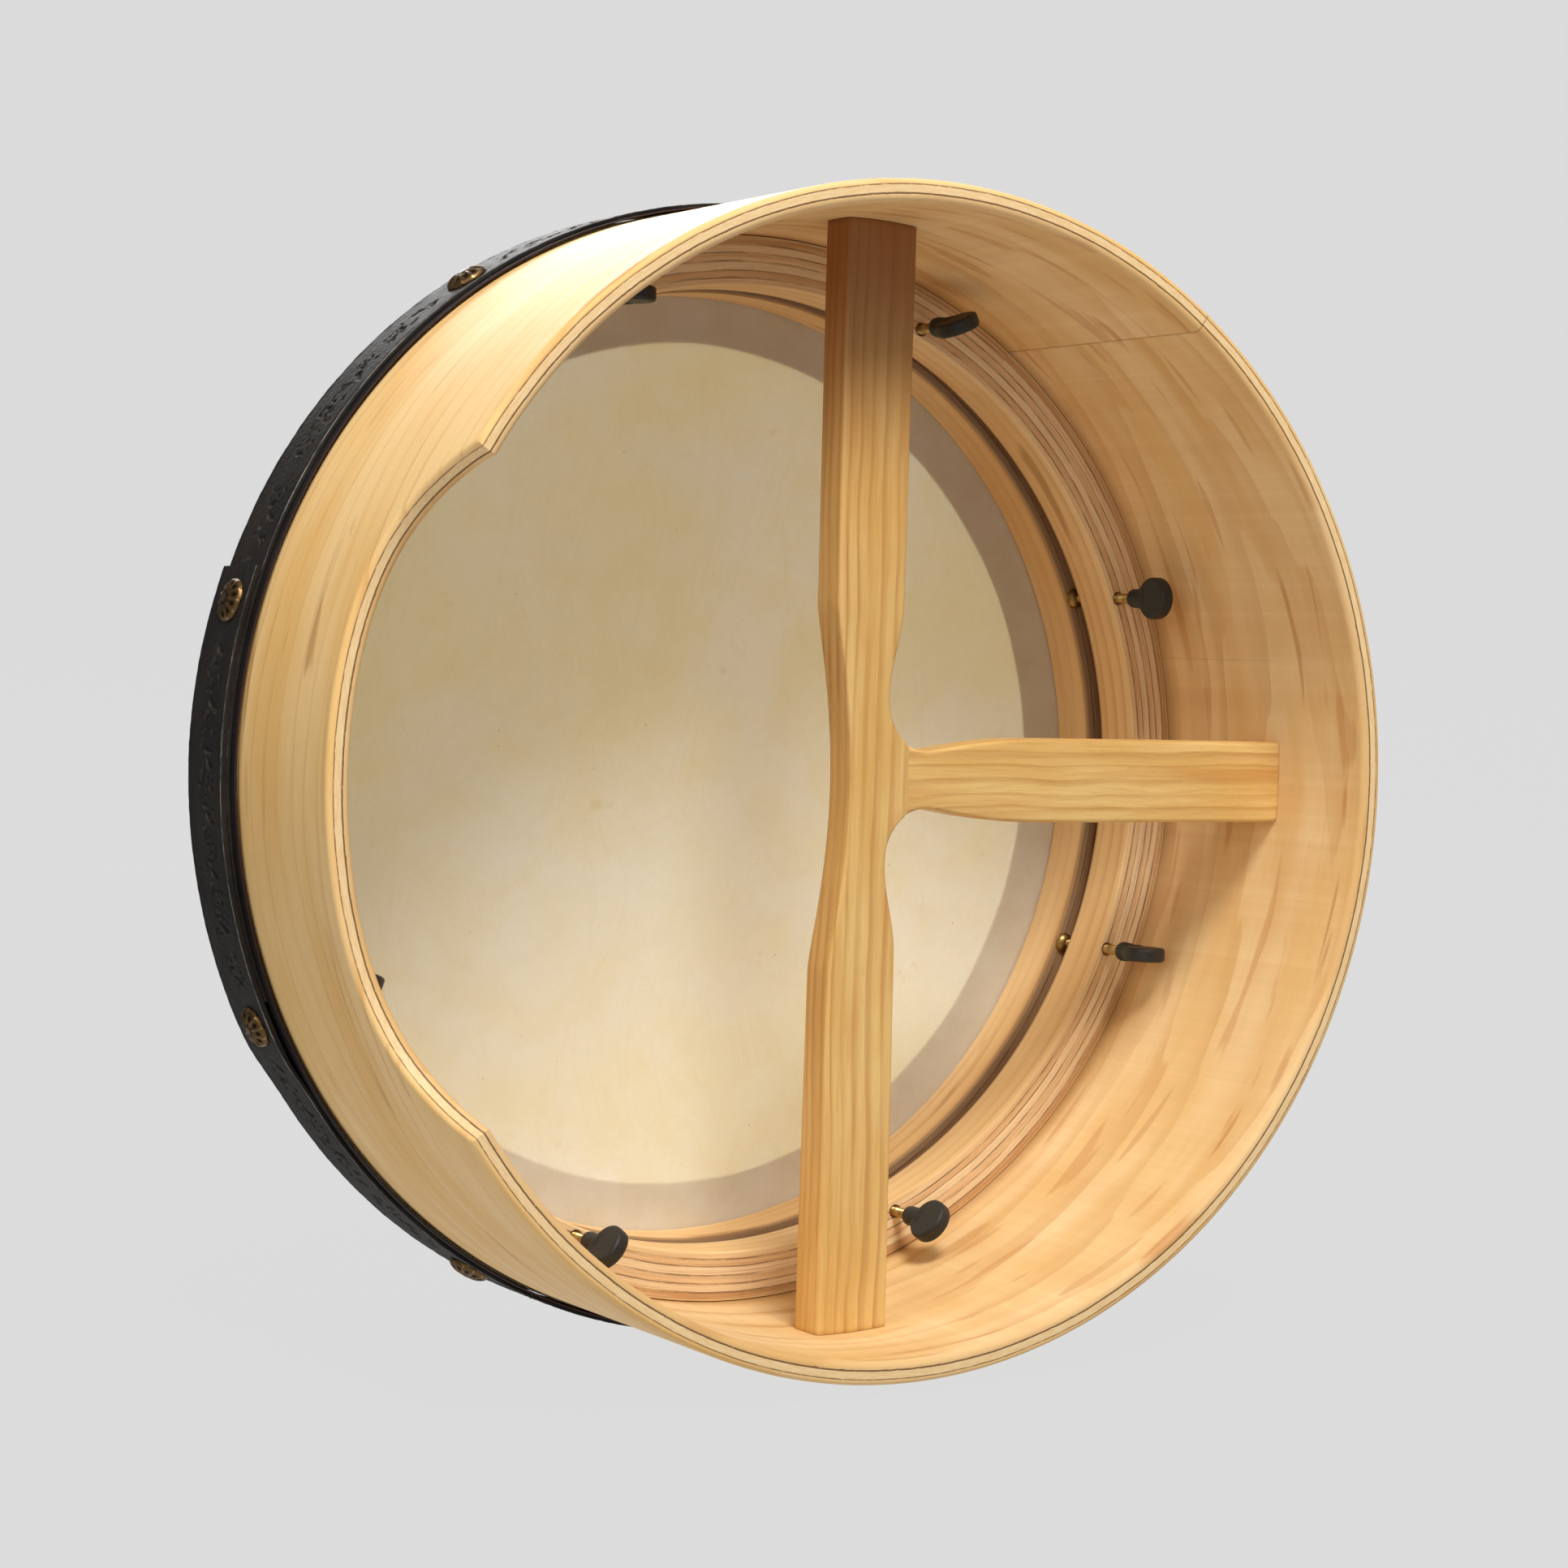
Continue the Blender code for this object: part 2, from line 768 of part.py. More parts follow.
# ---------------------------------------------------------------- tacks
tack_mesh = turned(
    "tack",
    [
        (0, TACK_TALL),
        (3.4, TACK_TALL - 0.5),
        (6.0, TACK_TALL - 1.6),
        (TACK_HEAD_R, 0.5),
        (TACK_HEAD_R - 0.3, 0),
        (NAIL_R, 0),
        (NAIL_R, -7.6),
        (0, -8.8),
    ],
    12,
    closed=False,
)
for number, deg in enumerate(TACK_AT_DEG, 1):
    lapped = LAP_RAMP_DEG[1] <= deg <= LAP_TOP_DEG
    base = (LAP_OUT if lapped else STRAP_OUT) + 0.3
    a = math.radians(deg)
    add(
        f"tack_{number}",
        tack_mesh,
        ANTIQUE,
        location=(base * math.cos(a), y_of(TACK_DEPTH), base * math.sin(a)),
        rotation=(0, math.pi / 2 - a, 0),
    )

# ---------------------------------------------------------------- bar screws
screw_mesh = turned(
    "bar_screw",
    [
        (0, 202.5),
        (3.5, 202.5),
        (3.5, 202.3),
        (1.6, 199.9),
        (1.6, 175.5),
        (0, 172.6),
    ],
    12,
    closed=False,
)
for name, deg in BAR_SCREWS:
    add(
        name,
        screw_mesh,
        STEEL,
        location=(0, y_of(SCREW_MID_DEPTH), 0),
        rotation=(0, math.pi / 2 - math.radians(deg), 0),
    )
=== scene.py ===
"""Looks of a bodhran: a bent-ply frame drum seen from its open back."""

import math

import bmesh
import bpy
import numpy as np
from mathutils import Matrix, Vector


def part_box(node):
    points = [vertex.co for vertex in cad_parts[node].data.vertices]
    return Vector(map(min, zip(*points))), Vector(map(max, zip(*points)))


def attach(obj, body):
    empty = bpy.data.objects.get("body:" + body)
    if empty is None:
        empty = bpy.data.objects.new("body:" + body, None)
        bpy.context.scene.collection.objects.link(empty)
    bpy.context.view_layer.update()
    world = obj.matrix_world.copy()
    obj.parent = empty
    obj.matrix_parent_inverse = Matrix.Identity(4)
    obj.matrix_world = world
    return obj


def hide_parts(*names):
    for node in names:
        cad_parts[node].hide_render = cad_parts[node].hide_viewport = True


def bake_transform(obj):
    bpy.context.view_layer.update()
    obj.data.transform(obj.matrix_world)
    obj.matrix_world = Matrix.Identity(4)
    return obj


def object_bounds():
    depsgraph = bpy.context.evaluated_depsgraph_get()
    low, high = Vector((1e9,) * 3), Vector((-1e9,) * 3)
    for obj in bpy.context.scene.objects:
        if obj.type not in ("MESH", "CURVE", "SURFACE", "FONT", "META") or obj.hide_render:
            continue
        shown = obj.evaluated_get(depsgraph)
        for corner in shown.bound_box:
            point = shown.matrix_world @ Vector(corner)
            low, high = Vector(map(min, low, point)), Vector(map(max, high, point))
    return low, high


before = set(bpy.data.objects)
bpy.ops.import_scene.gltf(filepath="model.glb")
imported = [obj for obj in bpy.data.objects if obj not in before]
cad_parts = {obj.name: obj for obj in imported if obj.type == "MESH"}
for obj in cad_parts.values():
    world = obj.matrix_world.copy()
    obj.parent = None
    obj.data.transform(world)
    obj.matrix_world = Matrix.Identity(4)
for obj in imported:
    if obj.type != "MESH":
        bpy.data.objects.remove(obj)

cad_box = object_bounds()
MM = 0.001
REAR_Y = 47.0  # world y of the rear rim, in mm; depth counts from it towards the skin

SHELL_R, SHELL_IN, SHELL_DEPTH, FRONT_ROUND = 203.2, 195.2, 153.0, 8.0
RING = (176.8, 194.9, 113.2, 133.7)
HOOP = (176.4, 194.0, 141.5, 161.5)
SCREW_R = 180.5
SCREWS = (  # number, angle on the drum, turn of the wing's plane
    (1, -22.5, 20), (2, -67.5, 128), (3, -112.5, 125), (4, -157.5, 2),
    (5, 157.5, 88), (6, 112.5, 155), (7, 67.5, 0), (8, 22.5, 90),
)
TACKS = (56.0, 15.6, -25.2, -59.5, -100.2, -141.0, 178.2, 137.5, 96.8)
SEAM = math.radians(124.3 - 180.0)


# ------------------------------------------------------------------ mesh tools
def drum(angle, r, depth):
    """A point from its angle on the drum in radians, radius and depth in mm."""
    return np.stack(
        [r * np.cos(angle), REAR_Y - depth + 0 * angle + 0 * r, r * np.sin(angle)], -1
    )


def to_object(name, points, faces, material, attributes=None, merge=None, sharp=38.0):
    mesh = bpy.data.meshes.new(name)
    mesh.from_pydata((np.asarray(points) * MM).tolist(), [], [tuple(f) for f in faces])
    for key, values in (attributes or {}).items():
        layer = mesh.attributes.new(key, "FLOAT", "POINT")
        layer.data.foreach_set("value", np.asarray(values, np.float32).ravel())
    bm = bmesh.new()
    bm.from_mesh(mesh)
    if merge:
        bmesh.ops.remove_doubles(bm, verts=bm.verts, dist=merge * MM)
    bmesh.ops.recalc_face_normals(bm, faces=bm.faces)
    bm.to_mesh(mesh)
    bm.free()
    mesh.shade_smooth()
    mesh.set_sharp_from_angle(angle=math.radians(sharp))
    mesh.materials.append(material)
    obj = bpy.data.objects.new(name, mesh)
    bpy.context.scene.collection.objects.link(obj)
    return obj


def grid_faces(rows, columns, wrap_rows, wrap_columns):
    r = np.arange(rows if wrap_rows else rows - 1)
    c = np.arange(columns if wrap_columns else columns - 1)
    r, c = [a.ravel() for a in np.meshgrid(r, c, indexing="ij")]
    r1, c1 = (r + 1) % rows, (c + 1) % columns
    return np.stack(
        [r * columns + c, r * columns + c1, r1 * columns + c1, r1 * columns + c], 1
    ).tolist()


def rounded(profile, radii, steps=4):
    """A closed outline with each corner rounded by its own radius."""
    out = []
    n = len(profile)
    for i in range(n):
        p = np.array(profile[i], float)
        a = np.array(profile[i - 1], float) - p
        b = np.array(profile[(i + 1) % n], float) - p
        if radii[i] <= 0:
            out.append(tuple(p))
            continue
        a, b = a / np.linalg.norm(a), b / np.linalg.norm(b)
        half = math.acos(max(-1, min(1, float(a @ b)))) / 2
        reach = radii[i] / math.tan(half)
        middle = p + (a + b) / np.linalg.norm(a + b) * radii[i] / math.sin(half)
        start, end = p + a * reach - middle, p + b * reach - middle
        turn = math.atan2(start[0] * end[1] - start[1] * end[0], start @ end)
        for k in range(steps + 1):
            t = turn * k / steps
            c, s = math.cos(t), math.sin(t)
            out.append(tuple(middle + [c * start[0] - s * start[1], s * start[0] + c * start[1]]))
    return out


def spread(profile, step):
    """More points along the long straight stretches of a closed outline."""
    out = []
    for i in range(len(profile)):
        a, b = np.array(profile[i]), np.array(profile[(i + 1) % len(profile)])
        n = max(1, int(np.linalg.norm(b - a) / step))
        out += [tuple(a + (b - a) * k / n) for k in range(n)]
    return out


def lathe(name, profile, material, segments=360, merge=None, closed=True, sharp=38.0):
    """A closed (radius, depth) outline turned about the drum's axis."""
    angle = np.linspace(-math.pi, math.pi, segments, endpoint=False)
    rows = [drum(angle, np.full(segments, r), d) for r, d in profile]
    return to_object(
        name,
        np.concatenate(rows),
        grid_faces(len(rows), segments, closed, True),
        material,
        merge=merge,
        sharp=sharp,
    )


def spun(name, profile, material, segments=32, sharp=38.0):
    """A (radius, height) line turned about local Y, in mm, closed at both ends if it reaches the axis."""
    angle = np.linspace(0, 2 * math.pi, segments, endpoint=False)
    rows = [
        np.stack([r * np.cos(angle), np.full(segments, h), r * np.sin(angle)], 1)
        for r, h in profile
    ]
    return to_object(
        name,
        np.concatenate(rows),
        grid_faces(len(rows), segments, False, True),
        material,
        merge=0.0005,
        sharp=sharp,
    )


def place(source, name, matrix):
    obj = bpy.data.objects.new(name, source.data)
    bpy.context.scene.collection.objects.link(obj)
    obj.matrix_world = matrix
    return obj


def discard(obj):
    bpy.data.objects.remove(obj)


def applied(obj):
    """The mesh after obj's modifiers, with the modifiers taken off."""
    graph = bpy.context.evaluated_depsgraph_get()
    mesh = bpy.data.meshes.new_from_object(obj.evaluated_get(graph))
    obj.modifiers.clear()
    old = obj.data
    obj.data = mesh
    bpy.data.meshes.remove(old)
    return obj


# -------------------------------------------------------------- material tools
def linear(rgb):
    values = [c / 255 for c in rgb]
    return tuple(
        v / 12.92 if v <= 0.04045 else ((v + 0.055) / 1.055) ** 2.4 for v in values
    ) + (1.0,)


class Val:
    """A socket that can be added, scaled and compared like a number."""

    def __init__(self, tree, socket):
        self.tree, self.socket = tree, socket

    def __add__(self, other):
        return self.tree.math("ADD", self, other)

    def __sub__(self, other):
        return self.tree.math("SUBTRACT", self, other)

    def __rsub__(self, other):
        return self.tree.math("SUBTRACT", other, self)

    def __mul__(self, other):
        return self.tree.math("MULTIPLY", self, other)

    def __truediv__(self, other):
        return self.tree.math("DIVIDE", self, other)

    __radd__, __rmul__ = __add__, __mul__


class Tree:
    def __init__(self, name, rough=0.5, metallic=0.0, specular=0.5):
        self.material = bpy.data.materials.new(name)
        self.material.use_nodes = True
        self.nodes = self.material.node_tree.nodes
        self.links = self.material.node_tree.links
        self.nodes.clear()
        out = self.nodes.new("ShaderNodeOutputMaterial")
        self.shader = self.nodes.new("ShaderNodeBsdfPrincipled")
        self.links.new(self.shader.outputs[0], out.inputs[0])
        self.shader.inputs["Roughness"].default_value = rough
        self.shader.inputs["Metallic"].default_value = metallic
        self.shader.inputs["Specular IOR Level"].default_value = specular
        coordinates = self.nodes.new("ShaderNodeTexCoord")
        split = self.nodes.new("ShaderNodeSeparateXYZ")
        self.links.new(coordinates.outputs["Object"], split.inputs[0])
        self.x, self.y, self.z = [
            self.math("MULTIPLY", Val(self, s), 1000.0) for s in split.outputs
        ]  # in mm

    def put(self, value, socket):
        if isinstance(value, Val):
            self.links.new(value.socket, socket)
        elif isinstance(value, tuple) and len(value) == 3 and socket.type == "RGBA":
            socket.default_value = linear(value)
        else:
            socket.default_value = value

    def math(self, op, a, b=None, c=None, clamp=False):
        node = self.nodes.new("ShaderNodeMath")
        node.operation, node.use_clamp = op, clamp
        for value, socket in zip((a, b, c), node.inputs):
            if value is not None:
                self.put(value, socket)
        return Val(self, node.outputs[0])

    def ease(self, value, a, b, c=0.0, d=1.0, kind="SMOOTHSTEP"):
        node = self.nodes.new("ShaderNodeMapRange")
        node.interpolation_type = kind
        for v, socket in zip((value, a, b, c, d), node.inputs):
            self.put(v, socket)
        return Val(self, node.outputs[0])

    def band(self, value, middle, half, soft):
        """1 within half of middle, falling to 0 over soft."""
        away = self.math("ABSOLUTE", value - middle)
        return self.ease(away, half, half + soft, 1.0, 0.0)

    def vector(self, x, y, z):
        node = self.nodes.new("ShaderNodeCombineXYZ")
        for value, socket in zip((x, y, z), node.inputs):
            self.put(value, socket)
        return Val(self, node.outputs[0])

    def noise(self, x, y, z, detail=3.0, rough=0.5, distort=0.0):
        node = self.nodes.new("ShaderNodeTexNoise")
        self.put(self.vector(x, y, z), node.inputs["Vector"])
        node.inputs["Scale"].default_value = 1.0
        node.inputs["Detail"].default_value = detail
        node.inputs["Roughness"].default_value = rough
        node.inputs["Distortion"].default_value = distort
        return Val(self, node.outputs[0])

    def cells(self, x, y, z, kind="F1", feature="Distance"):
        node = self.nodes.new("ShaderNodeTexVoronoi")
        node.feature = kind
        self.put(self.vector(x, y, z), node.inputs["Vector"])
        node.inputs["Scale"].default_value = 1.0
        return Val(self, node.outputs[feature])

    def mix(self, factor, a, b, blend="MIX"):
        node = self.nodes.new("ShaderNodeMix")
        node.data_type, node.blend_type = "RGBA", blend
        self.put(factor, node.inputs[0])
        self.put(a, node.inputs[6])
        self.put(b, node.inputs[7])
        return Val(self, node.outputs[2])

    def attribute(self, name):
        node = self.nodes.new("ShaderNodeAttribute")
        node.attribute_name = name
        return Val(self, node.outputs["Fac"])

    def finish(self, colour, rough=None, height=None, distance=0.1):
        """height is in mm times distance."""
        self.put(colour, self.shader.inputs["Base Color"])
        if rough is not None:
            self.put(rough, self.shader.inputs["Roughness"])
        if height is not None:
            bump = self.nodes.new("ShaderNodeBump")
            bump.inputs["Strength"].default_value = 1.0
            bump.inputs["Distance"].default_value = distance * MM
            self.put(height, bump.inputs["Height"])
            self.links.new(bump.outputs[0], self.shader.inputs["Normal"])
        return self.material


def polar(t):
    """Radius, and angle in radians with its seam turned to the ply's own scarf joint."""
    c, s = math.cos(SEAM), math.sin(SEAM)
    x, z = t.x * c + t.z * s, t.z * c - t.x * s
    r = t.math("SQRT", t.x * t.x + t.z * t.z)
    return r, t.math("ARCTAN2", z, x)


# -------------------------------------------------------------------- woods
def veneer(t, along, across, seed, lines, cathedral, tones, flames=0.0, crisp=0.35):
    """Colour and height of a flat-cut veneer: along and across the grain in mm, lines per mm across."""
    light, mid, dark, streak = tones
    wander = t.noise(along * 0.0035, across * 0.022, seed, 2.0, 0.45)
    ripple = t.noise(along * 0.014, across * 0.11, seed + 3.7, 2.0, 0.5)
    field = across * lines + wander * cathedral + ripple * 0.55
    ring = t.math("FRACT", field)
    late = t.ease(ring, crisp, 0.93) * t.ease(ring, 0.955, 1.0, 1.0, 0.0)
    strength = t.ease(t.noise(along * 0.006, across * 0.05, seed + 9.1, 2.0), 0.32, 0.72, 0.25, 1.0)
    fibres = t.noise(along * 0.045, across * 2.6, seed + 1.3, 3.0, 0.6)
    pores = t.ease(t.noise(along * 0.16, across * 6.5, seed + 5.9, 2.0, 0.5), 0.60, 0.74)
    cloud = t.noise(along * 0.009, across * 0.035, seed + 17.0, 3.0, 0.5)
    colour = t.mix(t.ease(cloud, 0.36, 0.66), light, mid)
    colour = t.mix(late * strength * 0.55, colour, dark)
    stain = t.ease(t.noise(along * 0.012, across * 0.10, seed + 23.0, 2.0, 0.55, 0.4), 0.655, 0.73)
    colour = t.mix(stain * 0.55, colour, streak)
    colour = t.mix(t.ease(fibres, 0.30, 0.72, 0.09, 0.0), colour, dark)
    colour = t.mix(pores * 0.10, colour, streak)
    if flames:  # short tapering streaks along the grain
        shape = t.noise(along * 0.017, across * 0.13, seed + 31.0, 1.0, 0.3)
        where = t.noise(along * 0.004, across * 0.014, seed + 37.0, 1.0)
        lick = t.ease(shape + where * 0.22, 0.765, 0.825) * t.ease(fibres, 0.2, 0.7, 0.55, 1.0)
        colour = t.mix(lick * flames, colour, streak)
    height = fibres * 0.5 + late * 0.25 - pores * 0.5
    return colour, height, stain


POPLAR = ((244, 214, 162), (234, 196, 138), (207, 158, 98), (168, 118, 68))
POPLAR_IN = ((249, 222, 172), (239, 204, 143), (213, 165, 103), (186, 112, 58))
POPLAR_OUT = ((250, 211, 148), (241, 193, 118), (218, 160, 92), (172, 116, 60))


def bent_ply():
    t = Tree("bent_ply", rough=0.5, specular=0.24)
    r, angle = polar(t)
    along = angle * 199.0
    inside, high_in, _ = veneer(t, along, t.y, 4.2, 0.042, 4.6, POPLAR_IN, 0.42)
    outside, high_out, _ = veneer(t, along, t.y, 31.0, 0.10, 3.4, POPLAR_OUT, 0.22, 0.76)
    # cross ply, its fibres cut through at the rim
    specks = t.noise(along * 0.22, t.y * 0.8, r * 2.2, 3.0, 0.6)
    middle = t.mix(t.ease(specks, 0.34, 0.70), (245, 217, 168), (236, 198, 142))
    rough_line = t.noise(along * 0.35, 0.0, r * 0.5, 3.0, 0.6)
    wobble = (t.noise(along * 0.05, 0.0, 2.0, 2.0) - 0.5) * 0.5 + (rough_line - 0.5) * 0.35
    depth = r + wobble
    colour = t.mix(t.ease(depth, 198.0, 198.15), inside, middle)
    colour = t.mix(t.ease(depth, 201.0, 201.2), colour, outside)
    # painted shade: the rim's inner rounding is painted browner
    inner_round_shade = t.band(depth, 196.6, 1.2, 0.5) * 0.34
    colour = t.mix(inner_round_shade, colour, (206, 148, 78))
    inner_line = depth + t.ease(rough_line, 0.60, 0.72) * 0.15
    glue_a = t.band(inner_line, 198.05, 0.22, 0.16) * t.ease(rough_line, 0.26, 0.44, 0.55, 1.0)
    glue_b = t.band(depth, 201.1, 0.15, 0.14) * t.ease(rough_line, 0.30, 0.54, 0.50, 1.0)
    colour = t.mix(glue_a * 0.9, colour, (84, 52, 30))
    colour = t.mix(glue_b * 0.8, colour, (110, 68, 38))
    face = t.ease(r, 195.25, 195.7) * t.ease(r, 203.15, 202.7)
    colour = t.mix(face * 0.14, colour, (204, 152, 92))
    # painted shade: the inner wall is painted darker in the corner at the ring's rear face, and darker still in the
    # gap between ring and hoop
    inside_wall = t.ease(r, 195.7, 195.3)
    colour = t.mix(inside_wall * t.ease(t.y, -58.0, -66.3) * 0.42, colour, (142, 88, 44))
    colour = t.mix(inside_wall * t.ease(t.y, -82.0, -87.0) * 0.50, colour, (112, 66, 34))
    joint = t.ease(t.math("ABSOLUTE", angle), math.pi - 0.0024, math.pi - 0.0010)
    colour = t.mix(joint * 0.45, colour, (150, 96, 52))
    second = t.band(angle, math.radians(166.3 - 124.3 - 180.0), 0.0006, 0.0008)
    colour = t.mix(second * t.ease(r, 199.0, 196.0) * t.ease(t.y, 12.0, -8.0) * 0.22, colour, (150, 96, 52))
    inner = t.ease(r, 198.6, 198.4)
    height = t.mix(inner, high_out, high_in)
    height = height - (glue_a + glue_b) * 1.6 - joint * 1.2
    rough = t.ease(specks, 0.2, 0.8, 0.46, 0.56)
    return t.finish(colour, rough, height, 0.07)


def bar_wood(name, along_axis, seed, ends):
    """Slow-grown softwood: growth lines run along the bar, and its ends show them as arcs."""
    t = Tree(name, rough=0.42, specular=0.45)
    along, across = (t.z, t.x) if along_axis == "z" else (t.x, t.z)
    bend = t.noise(along * 0.006, 0.0, seed, 2.0, 0.4)
    drift = t.noise(along * 0.02, across * 0.03, seed + 4.0, 2.0, 0.5)
    side = across + (bend - 0.5) * 16.0 + (drift - 0.5) * 3.4 + 58.0
    deep = t.y - 64.0
    rings = t.math("SQRT", side * side + deep * deep)
    uneven = t.noise(rings * 0.16, 0.0, seed + 8.0, 2.0, 0.5)
    ring = t.math("FRACT", rings * 0.30 + uneven * 1.6)
    late = t.ease(ring, 0.40, 0.90) * t.ease(ring, 0.93, 0.995, 1.0, 0.0)
    fibres = t.noise(along * 0.05, across * 3.0, t.y * 3.0, 3.0, 0.6)
    combed = t.noise(along * 0.022, across * 0.7 + (drift - 0.5) * 5.0, t.y * 0.7, 2.0, 0.5, 0.2)
    cloud = t.noise(along * 0.014, across * 0.06, t.y * 0.06, 3.0, 0.5)
    flecks = t.ease(t.noise(along * 0.2, across * 5.0, t.y * 5.0, 2.0, 0.5), 0.60, 0.74)
    colour = t.mix(t.ease(cloud, 0.34, 0.68), (233, 196, 126), (221, 177, 102))
    bold = t.ease(t.noise(along * 0.004, across * 0.12, seed + 6.0, 2.0, 0.5), 0.35, 0.68, 0.22, 0.72)
    colour = t.mix(late * bold, colour, (184, 128, 66))
    colour = t.mix(t.ease(fibres, 0.28, 0.70, 0.24, 0.0), colour, (196, 138, 70))
    colour = t.mix(flecks * 0.30, colour, (158, 100, 50))
    colour = t.mix(t.ease(combed, 0.50, 0.70) * 0.15, colour, (176, 118, 58))
    colour = t.mix(t.ease(combed, 0.46, 0.30) * 0.14, colour, (240, 206, 144))
    streak = t.ease(t.noise(along * 0.008, across * 0.14, seed + 12.0, 2.0, 0.5), 0.56, 0.72)
    colour = t.mix(streak * 0.40, colour, (190, 118, 52))
    if ends:  # darker heartwood, with painted shade from the shell's rim, towards the upper end
        heart_and_shade = t.ease(along + (fibres - 0.5) * 24.0, 90.0, 182.0)
        colour = t.mix(heart_and_shade * 0.82, colour, (128, 68, 28))
        # painted shade: the upper half of the bar a little darker
        colour = t.mix(t.ease(along, -60.0, 60.0) * 0.16, colour, (168, 108, 48))
    height = fibres * 0.6 + late * 0.35 - flecks * 0.4
    return t.finish(colour, t.ease(fibres, 0.2, 0.8, 0.38, 0.50), height, 0.06)


def ring_ply(name, seed, r_in, r_out, glue, tones):
    """Laminated ring: plies stacked by radius, dark glue lines between them on the flat faces."""
    t = Tree(name, rough=0.52, specular=0.38)
    r, angle = polar(t)
    along = angle * 186.0
    wobble = (t.noise(along * 0.05, 0.0, seed, 2.0) - 0.5) * 0.7
    fuzz = t.noise(along * 0.5, t.y * 0.4, r * 1.2, 3.0, 0.65)
    depth = r + wobble + (fuzz - 0.5) * 0.35
    face, high, _ = veneer(t, along, t.y, seed + 50.0, 0.16, 1.8, tones)
    fibres = t.noise(along * 0.05, r * 2.4, t.y * 0.7, 3.0, 0.6)
    colour = face
    edges = [r_in] + list(glue) + [r_out]
    shades = ((238, 206, 158), (226, 186, 138), (247, 221, 180), (234, 198, 152), (243, 214, 170), (210, 164, 112))
    inner = t.ease(depth, r_in + 0.5, r_in + 0.9)
    plies = None
    for k in range(len(edges) - 1):
        tone = shades[k % len(shades)]
        plies = tone if plies is None else t.mix(t.ease(depth, edges[k] - 0.1, edges[k] + 0.1), plies, tone)
    streaks = t.noise(along * 0.009, r * 0.85, seed + 70.0, 4.0, 0.68)
    plies = t.mix(t.ease(streaks, 0.50, 0.66) * 0.75, plies, (250, 224, 176))
    plies = t.mix(t.ease(streaks, 0.47, 0.34) * 0.45, plies, (188, 140, 92))
    plies = t.mix(t.ease(fibres, 0.30, 0.70, 0.28, 0.0), plies, (184, 134, 84))
    plies = t.mix(t.ease(fuzz, 0.55, 0.75) * 0.3, plies, (252, 226, 178))
    colour = t.mix(inner * t.ease(r, r_out - 0.5, r_out - 0.8), face, plies)
    # painted shade where ring and hoop face each other across the gap
    gap_shade = t.ease(t.y, -84.6, -86.4) * t.ease(t.y, -96.6, -94.8)
    colour = t.mix(gap_shade * 0.60, colour, (116, 68, 34))
    lines = None
    for k, g in enumerate(glue):
        line = t.band(depth, g, 0.16 if k % 2 else 0.24, 0.16)
        lines = line if lines is None else t.math("MAXIMUM", lines, line)
    broken = t.ease(t.noise(along * 0.05, 0.0, r * 0.3, 3.0, 0.6), 0.36, 0.60, 0.15, 1.0)
    colour = t.mix(lines * broken * 0.62, colour, (104, 64, 38))
    height = fibres * 1.0 + fuzz * 1.4 - lines * 1.8
    return t.finish(colour, t.ease(fuzz, 0.3, 0.7, 0.48, 0.60), height, 0.09)


def plain_wood(name):
    t = Tree(name, rough=0.55)
    grain = t.noise(t.x * 0.2, t.y * 3.0, t.z * 3.0, 3.0, 0.6)
    return t.finish(t.mix(t.ease(grain, 0.3, 0.7), (226, 184, 124), (196, 146, 88)), None, grain, 0.05)


# --------------------------------------------------------------- skin, cloth
def goatskin():
    t = Tree("goatskin", rough=0.50, specular=0.40)
    r, angle = polar(t)
    cloud = t.noise(t.x * 0.011, t.y * 0.01, t.z * 0.011, 3.0, 0.5, 0.6)
    mottle = t.noise(t.x * 0.05, t.y * 0.05, t.z * 0.05, 4.0, 0.6)
    fine = t.noise(t.x * 0.9, t.y * 0.9, t.z * 0.9, 3.0, 0.6)
    vein = t.noise(t.x * 0.03, 4.0, t.z * 0.012, 3.0, 0.6, 1.5)
    colour = t.mix(t.ease(cloud, 0.34, 0.68), (250, 238, 216), (246, 230, 199))
    colour = t.mix(t.ease(mottle, 0.36, 0.70, 0.0, 0.22), colour, (232, 208, 158))
    colour = t.mix(t.band(vein, 0.5, 0.004, 0.03) * 0.05, colour, (212, 184, 136))
    stain = t.ease(t.noise(t.x * 0.045, 11.0, t.z * 0.045, 3.0, 0.55), 0.665, 0.74)
    colour = t.mix(stain * 0.28, colour, (216, 186, 134))
    pale = t.ease(t.noise(t.x * 0.016 + t.z * 0.006, 21.0, t.z * 0.012, 2.0, 0.5), 0.56, 0.74)
    colour = t.mix(pale * 0.4, colour, (243, 236, 214))
    speck = t.ease(t.cells(t.x * 0.11, t.y * 0.11, t.z * 0.11), 0.035, 0.07, 1.0, 0.0)
    colour = t.mix(speck * t.ease(fine, 0.5, 0.6) * 0.5, colour, (160, 116, 68))
    dots = t.ease(fine, 0.58, 0.72)
    colour = t.mix(dots * 0.10, colour, (190, 156, 108))
    # painted shade: the cloth tape on the front shows through the skin as a greyer ring
    tape_in = t.ease(r + (mottle - 0.5) * 1.2, 158.2, 160.6)
    front = t.ease(t.y, -REAR_Y + 2.0 - 62.0, -REAR_Y - 66.0)
    shaded = t.mix(t.ease(mottle, 0.35, 0.7), (241, 226, 203), (231, 214, 188))
    colour = t.mix(tape_in * front * 0.80, colour, shaded)
    hem = t.ease(r, 196.0, 202.0)
    colour = t.mix(hem * 0.35, colour, (212, 186, 138))
    height = mottle * 1.2 + fine * 0.6
    t.shader.inputs["Subsurface Weight"].default_value = 0.75
    t.shader.inputs["Subsurface Radius"].default_value = (1.0, 0.88, 0.72)
    t.shader.inputs["Subsurface Scale"].default_value = 0.002
    return t.finish(colour, t.ease(mottle, 0.3, 0.7, 0.44, 0.58), height, 0.05)


